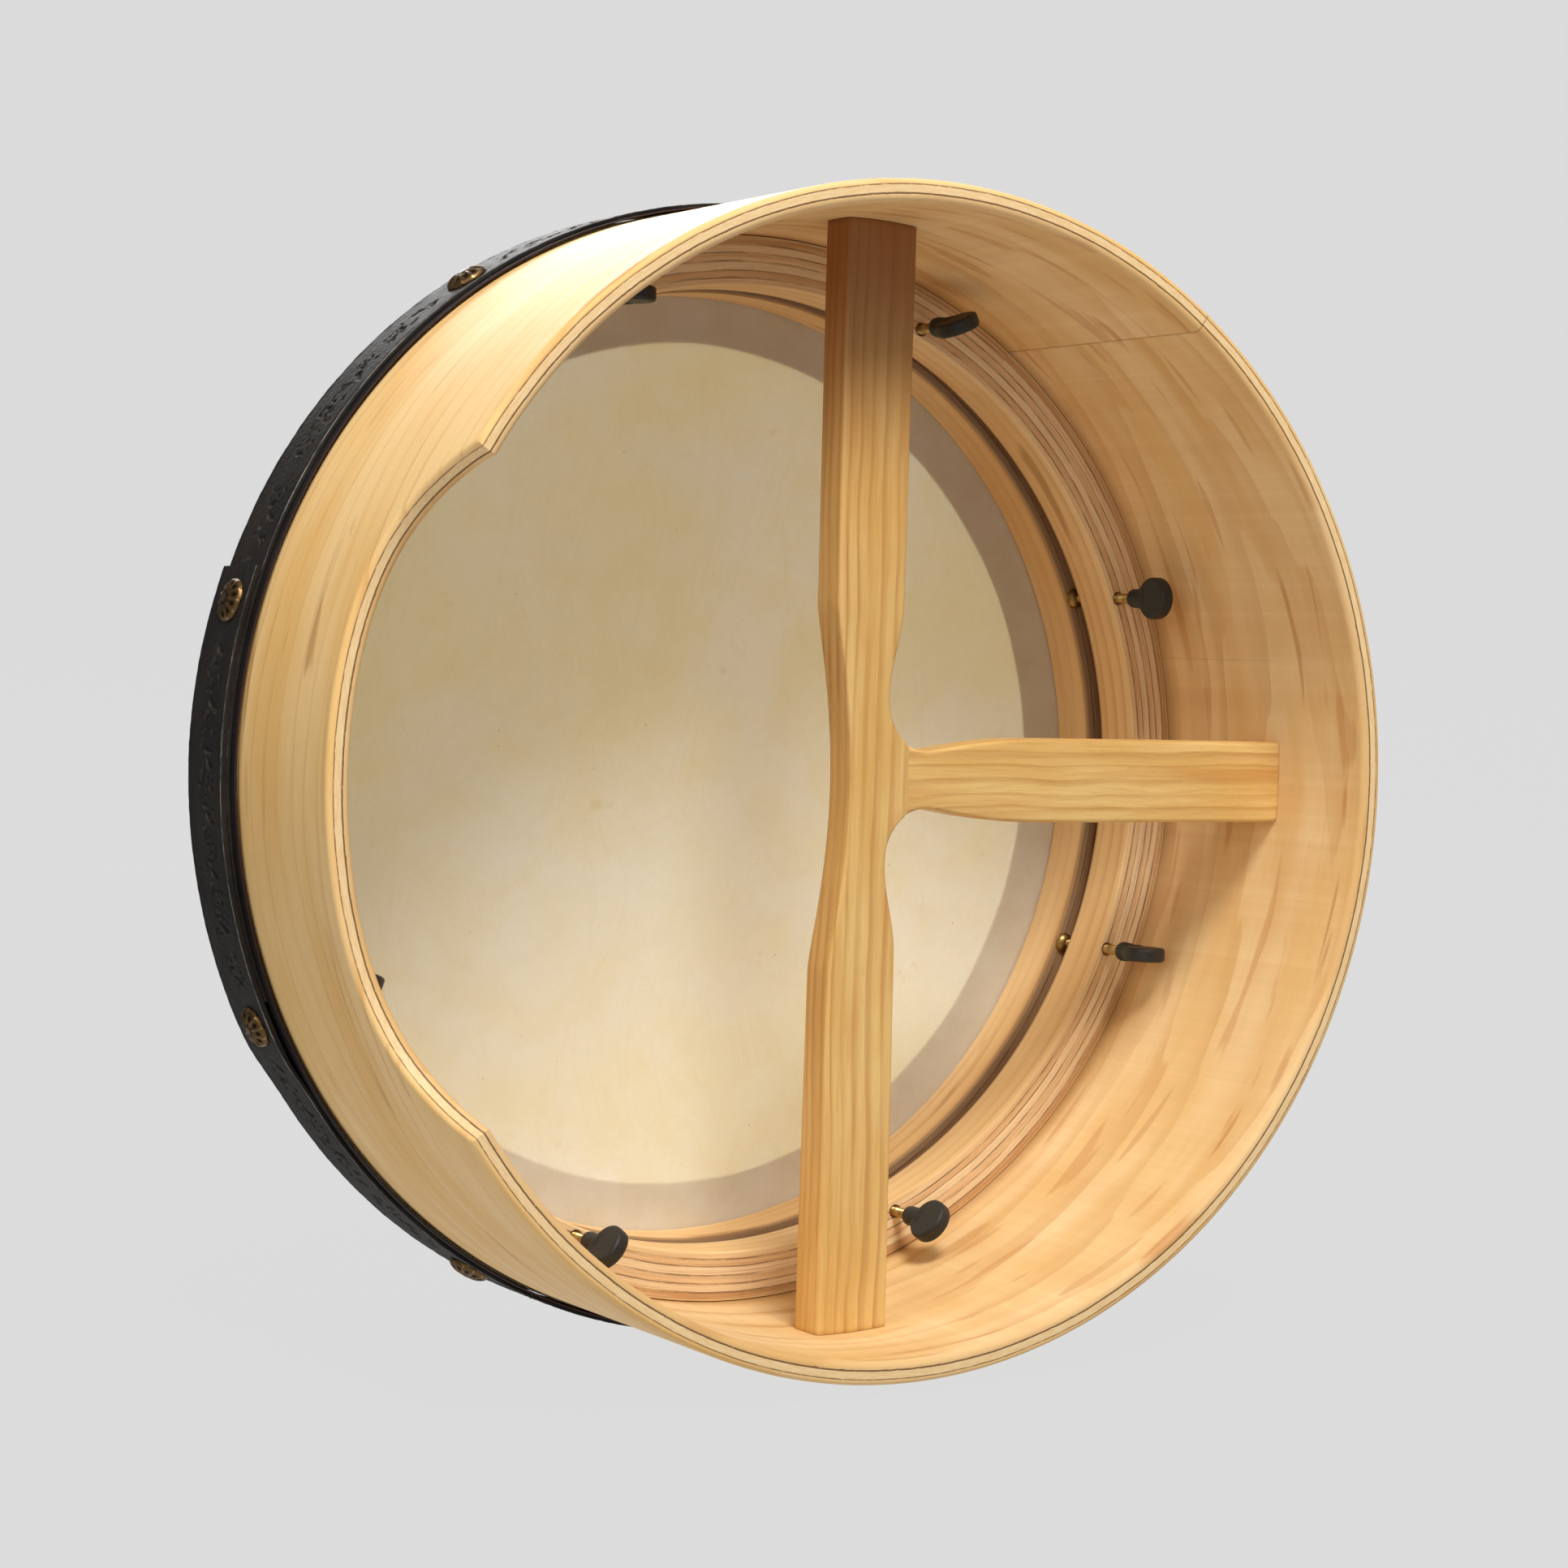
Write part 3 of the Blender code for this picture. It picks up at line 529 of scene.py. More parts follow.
def cloth_tape():
    t = Tree("cloth_tape", rough=0.72, specular=0.3)
    r, angle = polar(t)
    warp = t.math("SINE", angle * 170.0 * 11.0)
    weft = t.math("SINE", r * 11.0)
    weave = warp * weft
    dust = t.noise(t.x * 0.25, t.y, t.z * 0.25, 3.0, 0.6)
    colour = t.mix(t.ease(weave, -1.0, 1.0), (26, 26, 27), (46, 45, 45))
    colour = t.mix(t.ease(dust, 0.5, 0.75, 0.0, 0.25), colour, (92, 88, 84))
    return t.finish(colour, t.ease(dust, 0.3, 0.7, 0.66, 0.82), weave, 0.06)


# -------------------------------------------------------------------- leather
def leather(name, dark, light, worn, shine):
    t = Tree(name, rough=shine, specular=0.22)
    r, angle = polar(t)
    along = angle * 205.5
    grain = t.cells(along * 0.95, t.y * 0.95, r * 0.9)
    fine = t.noise(along * 2.2, t.y * 2.2, r, 3.0, 0.6)
    patch = t.noise(along * 0.03, t.y * 0.10, 3.0, 3.0, 0.55)
    rub = t.noise(along * 0.10, t.y * 0.9, 7.0, 4.0, 0.65)
    colour = t.mix(t.ease(patch, 0.32, 0.70), dark, light)
    colour = t.mix(t.ease(grain, 0.15, 0.75, 0.30, 0.0), colour, dark)
    colour = t.mix(t.ease(rub, 0.60, 0.80, 0.0, 0.35), colour, worn)
    scuff = t.ease(t.noise(along * 1.4, t.y * 1.4, 13.0, 3.0, 0.75), 0.70, 0.78)
    colour = t.mix(scuff * 0.55, colour, worn)
    return t, along, r, colour, grain, fine, patch, rub


def strap_leather():
    t, along, r, colour, grain, fine, patch, rub = leather(
        "strap_leather", (22, 18, 15), (38, 31, 26), (104, 92, 80), 0.6
    )
    depth = REAR_Y - t.y
    cut = t.attribute("tool")
    edge = t.ease(t.noise(along * 0.09, t.y * 0.5, 5.0, 5.0, 0.75), 0.44, 0.62)
    rim = t.band(depth, 114.15, 0.16, 0.28)
    colour = t.mix(rim * (edge * 0.7 + 0.12), colour, (158, 150, 140))
    # painted shade in the tool's cuts
    colour = t.mix(t.ease(cut, 0.0, 1.0) * 0.65, colour, (16, 15, 15))
    # painted highlight on the raised lips of the cuts
    lip = t.attribute("lip")
    colour = t.mix(lip * 0.62, colour, (92, 82, 71))
    height = grain * 0.9 + fine * 0.5
    return t.finish(colour, t.ease(rub, 0.3, 0.75, 0.54, 0.72), height, 0.10)


def band_leather():
    t, along, r, colour, grain, fine, patch, rub = leather(
        "band_leather", (22, 21, 21), (36, 34, 33), (84, 78, 72), 0.6
    )
    depth = REAR_Y - t.y
    stain = t.ease(depth, 110.4, 109.7)
    colour = t.mix(stain * 0.7, colour, (58, 30, 18))
    dusty = t.ease(t.noise(along * 1.1, t.y * 1.1, 3.0, 3.0, 0.8), 0.62, 0.74)
    colour = t.mix(dusty * 0.4, colour, (92, 88, 84))
    return t.finish(colour, t.ease(fine, 0.3, 0.7, 0.55, 0.72), grain * 0.9 + fine * 0.6, 0.10)


# ------------------------------------------------------------- metal, plastic
def brass(name, light, dark, rough, streaky):
    t = Tree(name, rough=rough, metallic=1.0)
    tarnish = t.noise(t.x * 0.35, t.y * 0.35, t.z * 0.35, 4.0, 0.6)
    lathe_marks = t.noise(t.x * 0.6, t.y * 9.0, t.z * 0.6, 2.0, 0.5)
    colour = t.mix(t.ease(tarnish, 0.34, 0.68), light, dark)
    colour = t.mix(t.ease(lathe_marks, 0.5, 0.8, 0.0, streaky), colour, dark)
    return t.finish(colour, t.ease(tarnish, 0.3, 0.7, rough - 0.07, rough + 0.12), lathe_marks, 0.02)


def antique_brass():
    t = Tree("antique_brass", rough=0.34, metallic=1.0)
    wear = t.attribute("wear")
    patina = t.noise(t.x * 0.7, t.y * 0.7, t.z * 0.7, 4.0, 0.65)
    shine = t.math("ADD", wear, (patina - 0.5) * 0.5)
    colour = t.mix(t.ease(shine, 0.15, 0.60), (40, 28, 18), (112, 86, 54))
    colour = t.mix(t.ease(shine, 0.66, 1.0), colour, (168, 138, 92))
    return t.finish(colour, t.ease(shine, 0.2, 0.8, 0.56, 0.36), patina, 0.03)


def steel(name):
    t = Tree(name, rough=0.32, metallic=1.0)
    marks = t.noise(t.x * 3.0, t.y * 3.0, t.z * 3.0, 3.0, 0.6)
    return t.finish(t.mix(t.ease(marks, 0.3, 0.7), (206, 200, 186), (172, 164, 148)), t.ease(marks, 0.3, 0.7, 0.26, 0.42), marks, 0.01)


def knob_plastic():
    t = Tree("knob_plastic", rough=0.5, specular=0.45)
    grain = t.noise(t.x * 5.0, t.y * 5.0, t.z * 5.0, 2.0, 0.6)
    dust = t.noise(t.x * 0.5, t.y * 0.5, t.z * 0.5, 4.0, 0.7)
    scratch = t.ease(t.noise(t.x * 1.1, t.y * 3.6, t.z * 1.1, 3.0, 0.7), 0.69, 0.78)
    colour = t.mix(t.ease(dust, 0.35, 0.72), (33, 33, 33), (45, 45, 44))
    colour = t.mix(scratch * 0.28, colour, (110, 108, 102))
    return t.finish(colour, t.ease(dust, 0.3, 0.7, 0.44, 0.58), grain, 0.02)


MAT = {
    "shell": bent_ply(),
    "crossbar": bar_wood("crossbar_wood", "z", 3.0, True),
    "arm": bar_wood("crossbar_arm_wood", "x", 41.0, False),
    "ring": ring_ply("ring_ply", 5.0, RING[0], RING[1], (179.6, 182.3, 185.6, 188.7, 191.8), POPLAR),
    "hoop": ring_ply("hoop_ply", 15.0, HOOP[0], HOOP[1], (179.9, 183.1, 186.7, 189.9), POPLAR),
    "dowel": plain_wood("dowel_wood"),
    "skin": goatskin(),
    "tape": cloth_tape(),
    "strap": strap_leather(),
    "band": band_leather(),
    "brass": brass("brass", (190, 160, 100), (142, 112, 64), 0.40, 0.35),
    "insert": brass("insert_brass", (214, 182, 118), (170, 134, 78), 0.30, 0.2),
    "tack": antique_brass(),
    "steel": steel("screw_steel"),
    "knob": knob_plastic(),
}
WEAR_PLAIN = {"wear": 0.5}


# ------------------------------------------------------------------- the shell
def cut_depth(degrees):
    u = (degrees + 1.0) / 32.3
    return 40.2 * (1 - abs(u) ** 5) ** 0.88 if abs(u) < 1 else 0.0


def make_shell():
    mean = 199.2
    fine = np.linspace(-33.3, 31.3, 6001)
    depth = np.array([cut_depth(a) for a in fine])
    along = np.radians(fine) * mean
    run = np.concatenate([[0], np.cumsum(np.hypot(np.diff(along), np.diff(depth)))])
    count = int(run[-1] / 2.0)
    at = np.linspace(0, run[-1], count + 1)
    cut_s, cut_d = np.interp(at, run, along), np.interp(at, run, depth)
    rest = np.radians(np.linspace(31.3, 360 - 33.3, 248)[1:-1]) * mean
    s = np.concatenate([cut_s, rest])
    d = np.concatenate([cut_d, 0 * rest])
    n = len(s)
    on_cut = np.arange(n) <= count
    # unit normals into the wood, in the unrolled wall (along, depth)
    normal = np.zeros((n, 2))
    normal[:, 1] = 1
    tangent = np.stack([np.gradient(cut_s), np.gradient(cut_d)], 1)
    tangent /= np.linalg.norm(tangent, axis=1)[:, None]
    normal[: count + 1] = np.stack([-tangent[:, 1], tangent[:, 0]], 1)
    corners = []
    for index, sign in ((0, 1), (count, -1)):
        m = normal[index] + [0, 1]
        m /= np.linalg.norm(m)
        corners.append((index, sign, m, 1 / m[1]))

    def offset(o):
        """The rim's curve moved by o into the wood."""
        p = np.stack([s, d], 1) + normal * np.reshape(o, (-1, 1))
        for index, sign, m, stretch in corners:
            corner = np.array([s[index], d[index]])
            q = np.array([m[1], -m[0]]) * sign
            near = np.abs(s - corner[0]) < 12
            cut_side = on_cut & near
            wall_side = ~on_cut & near
            if index == 0:  # the wall before the first corner is the end of the list
                wall_side = ~on_cut & (np.abs(s - 2 * math.pi * mean - corner[0]) < 12)
            side = (p - corner) @ q
            if index == 0:
                shifted = p - [2 * math.pi * mean, 0] - corner
                side = np.where(wall_side, shifted @ q, side)
            mitre = corner + m * o * stretch
            bad = (cut_side & (side < 0)) | (wall_side & (side > 0))
            bad[index] = True
            p[bad] = mitre + ([2 * math.pi * mean, 0] if False else [0, 0])
            if index == 0:
                p[bad & wall_side] = mitre + [2 * math.pi * mean, 0]
        return p

    round_out, round_in = 1.9, 2.4
    rows = []

    def row(r, p):
        rows.append(drum(p[:, 0] / mean, np.full(n, r), p[:, 1]))

    front_out = np.stack([s, np.full(n, SHELL_DEPTH - FRONT_ROUND)], 1)
    front_in = np.stack([s, np.full(n, SHELL_DEPTH)], 1)
    top = offset(round_out + 0.3)
    for f in (0.0, 0.34, 0.67, 1.0):
        row(SHELL_R, front_out * (1 - f) + top * f)
    for k in range(7):
        a = math.pi / 2 * k / 6
        row(SHELL_R - round_out + round_out * math.cos(a), offset(round_out * (1 - math.sin(a))))
    for r in (200.3, 199.3, 198.3):
        row(r, offset(0.0))
    for k in range(8):
        a = math.pi / 2 * k / 7
        row(SHELL_IN + round_in - round_in * math.sin(a), offset(round_in * (1 - math.cos(a))))
    top = offset(round_in + 0.3)
    for f in (0.0, 0.3, 0.6, 1.0):
        row(SHELL_IN, top * (1 - f) + front_in * f)
    for k in range(1, 9):
        a = math.pi / 2 * k / 9
        p = front_in.copy()
        p[:, 1] = SHELL_DEPTH - FRONT_ROUND + FRONT_ROUND * math.cos(a)
        row(SHELL_IN + FRONT_ROUND * math.sin(a), p)
    shell = to_object(
        "shell_visual",
        np.concatenate(rows),
        grid_faces(len(rows), n, True, True),
        MAT["shell"],
        merge=0.002,
        sharp=42,
    )
    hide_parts("shell")
    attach(shell, "frame")
    return shell


# ---------------------------------------------------------------- the crossbar
def scoop_left(z):
    u = min(1, abs(z + 3) / 64)
    return 8.0 - 7.3 * (1 - u * u) ** 1.25


def scoop_right(z):
    z = abs(z)
    if z >= 62:
        return -20.1
    if z >= 30:
        t = (62 - z) / 32
        return -20.1 + 5.0 * t * t * (3 - 2 * t)
    if z >= 12.4:
        return -15.1 - 8.3 * ((30 - z) / (30 - 12.4)) ** 2.6
    return -23.4


def arm_half(x):
    u = -23.4 - x
    if u < 9:
        return 10.2 + 2.2 * (1 - max(0, u) / 9) ** 2
    t = min(1, (u - 9) / 50)
    return 10.2 + 5.0 * (1 - math.cos(math.pi * t**0.6)) / 2


def section(lo, hi, front, rear, radius, steps=4, lo_radius=None):
    """A rounded box across the bar, always with the same number of points."""
    low = radius if lo_radius is None else lo_radius
    loop = rounded([(lo, front), (hi, front), (hi, rear), (lo, rear)], [low, radius, radius, low], steps)
    out, gaps = [], (5, 3, 5, 3)
    for side in range(4):
        part = loop[side * (steps + 1) : (side + 1) * (steps + 1)]
        out += part
        a, b = np.array(part[-1]), np.array(loop[(side + 1) * (steps + 1) % len(loop)])
        out += [tuple(a + (b - a) * k / (gaps[side] + 1)) for k in range(1, gaps[side] + 1)]
    return out


def capped(name, rows, material, end_r=None):
    """Rows of one closed loop each, joined and closed with flat ends."""
    n = len(rows[0])
    points = np.concatenate([np.asarray(r, float) for r in rows])
    faces = grid_faces(len(rows), n, False, True)
    faces.append(list(range(n))[::-1])
    faces.append(list(range((len(rows) - 1) * n, len(rows) * n)))
    return to_object(name, points, faces, material, sharp=50)


def make_crossbar():
    end = 195.1
    z_rows = np.concatenate([[-1.0, -0.9985], np.linspace(-0.99, 0.99, 235), [0.9985, 1.0]])
    rows = []
    for t in z_rows:
        z = t * end
        wider = 0.8 * min(1, max(0, (abs(z) - 62) / 110)) * (1.0 if z < 0 else 0.6)
        left, right = scoop_left(z) + wider, scoop_right(z) - wider
        inset = 0.25 if abs(t) == 1.0 else 0.0
        glued = 1.5 - 1.25 * min(1.0, max(0.0, (14.2 - abs(z)) / 2.2))
        loop = section(right + inset, left - inset, -14.7 + inset, 0.0 - inset, 1.5, 4, glued)
        rows.append([(x, y, t * math.sqrt(end * end - x * x)) for x, y in loop])
    bar = capped("crossbar_visual", rows, MAT["crossbar"])
    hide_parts("crossbar")
    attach(bar, "frame")
    start, stop = -23.43, -end
    span = np.concatenate([[0, 0.0012, 0.004], np.linspace(0.012, 0.992, 130), [0.9985, 1.0]])
    rows = []
    for t in span:
        x = start + (stop - start) * t
        half = arm_half(x)
        inset = 0.2 if t == 1.0 else 0.05 if t == 0.0 else 0.0
        loop = section(-half + inset, half - inset, -14.6 + inset, -0.1 - inset, 1.5)
        rows.append(
            [
                (start + (-math.sqrt(end * end - z * z) - start) * t, y, z)
                for z, y in loop
            ]
        )
    arm = capped("crossbar_arm_visual", rows, MAT["arm"])
    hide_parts("crossbar_arm")
    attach(arm, "frame")


# ------------------------------------------------------- lug ring, hoop, seats
def drum_matrix(degrees, depth, turn=0.0):
    """Local origin on the screw circle at this depth, local +Y towards the open back."""
    a = math.radians(degrees)
    return Matrix.Translation(
        (SCREW_R * MM * math.cos(a), (REAR_Y - depth) * MM, SCREW_R * MM * math.sin(a))
    ) @ Matrix.Rotation(-math.radians(turn), 4, "Y")


def make_ring():
    outline = rounded(
        [(RING[0], RING[2]), (RING[1], RING[2]), (RING[1], RING[3]), (RING[0], RING[3])],
        [0.9, 0.3, 0.3, 0.7],
        3,
    )
    ring = lathe("lug_ring_visual", spread(outline, 3.0), MAT["ring"], 432)
    profile = [(0, -25), (2.9, -25), (2.9, -8.4), (2.35, -8.2), (2.35, -0.5), (2.75, 0.02), (2.9, 1), (0, 1)]
    cutter = spun("lug_hole_cutter", profile, MAT["ring"], 28)
    bm = bmesh.new()
    for _, degrees, _ in SCREWS:
        part = bmesh.new()
        part.from_mesh(cutter.data)
        part.transform(drum_matrix(degrees, RING[2]))
        mesh = bpy.data.meshes.new("part")
        part.to_mesh(mesh)
        part.free()
        bm.from_mesh(mesh)
        bpy.data.meshes.remove(mesh)
    bm.to_mesh(cutter.data)
    bm.free()
    cut = ring.modifiers.new("holes", "BOOLEAN")
    cut.operation, cut.solver, cut.object = "DIFFERENCE", "EXACT", cutter
    applied(ring)
    discard(cutter)
    ring.data.set_sharp_from_angle(angle=math.radians(40))
    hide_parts("lug_ring")
    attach(ring, "frame")

    outline = rounded(
        [(HOOP[0], HOOP[2]), (HOOP[1], HOOP[2]), (HOOP[1], HOOP[3]), (HOOP[0], HOOP[3])],
        [1.0, 0.4, 3.0, 1.0],
        5,
    )
    hoop = lathe("tuning_hoop_visual", spread(outline, 3.0), MAT["hoop"], 432)
    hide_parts("tuning_hoop")
    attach(hoop, "hoop")


def make_screws():
    # M4 x 0.7 threaded rod
    steps, pitch, top = 20, 0.7, 21.2
    angle = np.arange(steps) * 2 * math.pi / steps
    heights = np.arange(-25.0 + 0.6, top + 1e-6, pitch / 6)
    rows = [(np.full(steps, 0.0), np.full(steps, -25.0)), (np.full(steps, 1.35), np.full(steps, -25.0)), (np.full(steps, 1.62), np.full(steps, -24.7))]
    for h in heights:
        phase = (h / pitch - angle / (2 * math.pi)) % 1.0
        crest = 1 - np.abs(phase * 2 - 1)
        fade = min(1.0, (h + 24.6) / 0.8)
        rows.append((1.95 - 0.40 * np.clip(1.25 * (1 - crest) - 0.12, 0, 1) - 0.28 * (1 - fade), np.full(steps, h)))
    rows.append((np.full(steps, 0.0), np.full(steps, top)))
    points = np.concatenate([np.stack([r * np.cos(angle), h, r * np.sin(angle)], 1) for r, h in rows])
    rod = to_object("rod_source", points, grid_faces(len(rows), steps, False, True), MAT["brass"], merge=0.0005, sharp=60)

    # spade head: a flat round blade on a neck, moulded in one
    disc_profile = [(0.0, -2.72), (6.9, -2.72)]
    disc_profile += [(6.9 + 1.2 * math.sin(a), -1.52 - 1.2 * math.cos(a)) for a in np.linspace(0.15, 1.57, 6)]
    disc_profile += [(r, -h) for r, h in reversed(disc_profile)]
    disc = spun("blade", disc_profile, MAT["knob"], 56)
    disc.data.transform(Matrix.Translation((0, 13.9 * MM, 0)) @ Matrix.Rotation(math.pi / 2, 4, "X"))
    neck_profile = [(0, 0), (3.2, 0), (3.62, 0.35), (3.74, 1.2), (3.74, 3.2), (3.55, 5.2), (3.3, 7.2), (2.9, 9.0), (0, 10.5)]
    neck = spun("neck", neck_profile, MAT["knob"], 40)
    web = [(0, 1.0), (3.3, 1.0), (3.9, 4.0), (4.9, 6.6), (6.6, 8.8), (0, 14)]
    fillet = spun("fillet", web, MAT["knob"], 40)
    fillet.data.transform(Matrix.Diagonal((1.0, 1.0, 0.52, 1.0)))
    bm = bmesh.new()
    for part in (disc, neck, fillet):
        bm.from_mesh(part.data)
        discard(part)
    mesh = bpy.data.meshes.new("wing")
    bm.to_mesh(mesh)
    bm.free()
    wing = bpy.data.objects.new("wing_source", mesh)
    bpy.context.scene.collection.objects.link(wing)
    remesh = wing.modifiers.new("mould", "REMESH")
    remesh.mode, remesh.voxel_size, remesh.use_smooth_shade = "VOXEL", 0.30 * MM, True
    soften = wing.modifiers.new("soften", "SMOOTH")
    soften.factor, soften.iterations = 0.5, 9
    applied(wing)
    wing.data.shade_smooth()
    wing.data.materials.clear()
    wing.data.materials.append(MAT["knob"])

    seat_profile = [(0, 3.0)]
    seat_profile += [(4.0 * math.sin(a), 0.25 + 2.75 * math.cos(a)) for a in np.linspace(0.12, 1.57, 12)]
    seat_profile += [(4.0, 0.05), (1.3, 0.05), (1.3, -8.9), (0, -8.9)]
    seat = spun("seat_source", seat_profile, MAT["brass"], 36)

    for number, degrees, turn in SCREWS:
        made = (
            (rod, f"thumb_screw_{number}", RING[2], f"screw_{number}", "brass", "rod"),
            (wing, f"thumb_wing_{number}", 104.0, f"screw_{number}", "knob_plastic", "head"),
            (seat, f"screw_seat_{number}", HOOP[2], "hoop", "brass", "visual"),
        )
        for source, node, depth, body, slot, _ in made:
            obj = place(source, node + "_visual", drum_matrix(degrees, depth, turn))
            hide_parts(node)
            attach(obj, body)
    for source in (rod, wing, seat):
        discard(source)


# ---------------------------------------------------------------- the goatskin
def make_skin():
    shoulder = (SHELL_IN, SHELL_DEPTH - FRONT_ROUND)
    corner = (HOOP[1] - 3.0, HOOP[3] - 3.0)

    def path(offset):
        ra, rb = FRONT_ROUND + offset, 3.0 + offset + 0.05
        dr, dd = corner[0] - shoulder[0], corner[1] - shoulder[1]
        long = math.hypot(dr, dd)
        tilt = math.atan2(dd, dr) - math.pi / 2 + math.asin((ra - rb) / long)
        points = [(shoulder[0] + ra, d) for d in (112.5, 118, 124, 130, 136, 141, shoulder[1])]
        points += [(shoulder[0] + ra * math.cos(t), shoulder[1] + ra * math.sin(t)) for t in np.linspace(0, tilt, 9)[1:]]
        arc = [(corner[0] + rb * math.cos(t), corner[1] + rb * math.sin(t)) for t in np.linspace(tilt, math.pi / 2, 8)]
        a, b = points[-1], arc[0]
        points += [(a[0] + (b[0] - a[0]) * f, a[1] + (b[1] - a[1]) * f) for f in (0.25, 0.5, 0.75)]
        return points + arc

    inner, outer = path(0.10), path(0.55)
    reach = [r for r in np.linspace(corner[0], 0, 46)][1:]
    profile = list(outer) + [(r, outer[-1][1]) for r in reach]
    profile += [(r, inner[-1][1]) for r in reversed(reach)] + list(reversed(inner))
    skin = lathe("goatskin_visual", profile, MAT["skin"], 384, merge=0.001, sharp=60)
    mesh = skin.data
    co = np.empty(len(mesh.vertices) * 3, np.float32)
    mesh.vertices.foreach_get("co", co)
    co = co.reshape(-1, 3)
    # hand-trimmed hem under the band, a very little uneven
    r = np.hypot(co[:, 0], co[:, 2])
    a = np.arctan2(co[:, 2], co[:, 0])
    hem = np.clip((co[:, 1] + 0.0675) / 0.002, 0, 1) * (r > 0.2)
    co[:, 1] += hem * (0.0005 * np.sin(9 * a + 1) + 0.0003 * np.sin(23 * a)) - hem * 0.0006
    mesh.vertices.foreach_set("co", co.ravel())
    mesh.update()
    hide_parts("goatskin_head")
    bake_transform(skin)

    front = outer[-1][1]
    angle = np.linspace(0, 2 * math.pi, 360, endpoint=False)
    low, high = front + 0.2, front + 0.5
    rows = []
    for base, d, side in ((159.2, low, 0), (178.2, low, 1), (178.25, high - 0.06, 1), (178.0, high, 1), (172, high, 2), (165, high, 2), (159.4, high, 0), (159.15, high - 0.06, 0)):
        wave = (0.25 * np.sin(5 * angle + side) + 0.12 * np.sin(17 * angle)) if side < 2 else 0 * angle
        rows.append(drum(angle, base + wave, d))
    tape = to_object("edge_tape_visual", np.concatenate(rows), grid_faces(len(rows), 360, True, True), MAT["tape"])
    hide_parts("edge_tape")
    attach(tape, "hoop")


# ---------------------------------------------------------- band and its tacks
def gouges():
    """(angle, depth, slant, length, width) of the tooling: a generic run of curled cuts and pits between the tacks."""
    random = np.random.default_rng(11)
    kinds = ((-1.6, 55, 3.4, 0.85), (2.6, -28, 2.5, 0.70), (-3.9, 10, 1.1, 0.85), (1.0, 100, 2.1, 0.75))
    out = []
    for k, tack in enumerate(TACKS):
        gap = (tack - TACKS[(k + 1) % 9]) % 360
        count = int((gap - 8.6) / 1.28)
        for i in range(count):
            degrees = tack - 4.6 - i * (gap - 9.2) / max(1, count - 1)
            if random.uniform() < 0.10:
                continue
            side, slant, long, wide = kinds[i % 4]
            out.append(
                (
                    math.radians(degrees + random.uniform(-0.2, 0.2)),
                    126.5 + side + random.uniform(-0.7, 0.7),
                    math.radians(slant + random.uniform(-16, 16)),
                    long * random.uniform(0.75, 1.2),
                    wide * random.uniform(0.85, 1.15),
                )
            )
            for _ in range(3):
                out.append(
                    (
                        math.radians(degrees + random.uniform(-0.65, 0.65)),
                        126.5 + random.uniform(-5.6, 5.6),
                        random.uniform(0, 3.1),
                        random.uniform(0.55, 1.2),
                        random.uniform(0.45, 0.65),
                    )
                )
    return out


def strap_relief(angle, depth):
    """Height in mm of the tooled surface, and how much of it is cut and raised by the tool."""
    height = np.zeros(angle.shape)
    cut = np.zeros(angle.shape)
    lip = np.zeros(angle.shape)
    turn = np.mod(angle + math.pi, 2 * math.pi) - math.pi
    for a, d, slant, long, wide in gouges():
        da = np.mod(turn[0] - a + math.pi, 2 * math.pi) - math.pi
        near = np.where(np.abs(da) < 0.022)[0]
        if not len(near):
            continue
        x = da[near][None, :] * 206.1
        y = depth[:, near] - d
        u = x * math.cos(slant) + y * math.sin(slant)
        v = -x * math.sin(slant) + y * math.cos(slant) + 0.26 * u * u / long
        body = np.exp(-((u / long) ** 4)) * np.exp(-((v / wide) ** 2))
        edge = np.exp(-((u / (long * 1.05)) ** 4)) * np.exp(-(((v - wide * 1.7) / (wide * 0.6)) ** 2))
        height[:, near] += -0.75 * body * min(1.0, long / 2.0 + 0.25) + 0.22 * edge
        cut[:, near] = np.maximum(cut[:, near], body)
        nick = edge * (0.35 + 0.65 * np.exp(-(((u - long * 0.5) / (long * 0.45)) ** 2)))
        lip[:, near] = np.maximum(lip[:, near], nick)
    # raised rear edge, with a pressed line just inside it, and the same, fainter, at the front
    height += 0.20 * np.exp(-(((depth - 114.3) / 0.8) ** 2))
    height -= 0.16 * np.exp(-(((depth - 116.0) / 0.5) ** 2))
    height -= 0.14 * np.exp(-(((depth - 140.4) / 0.45) ** 2))
    return height, cut, lip


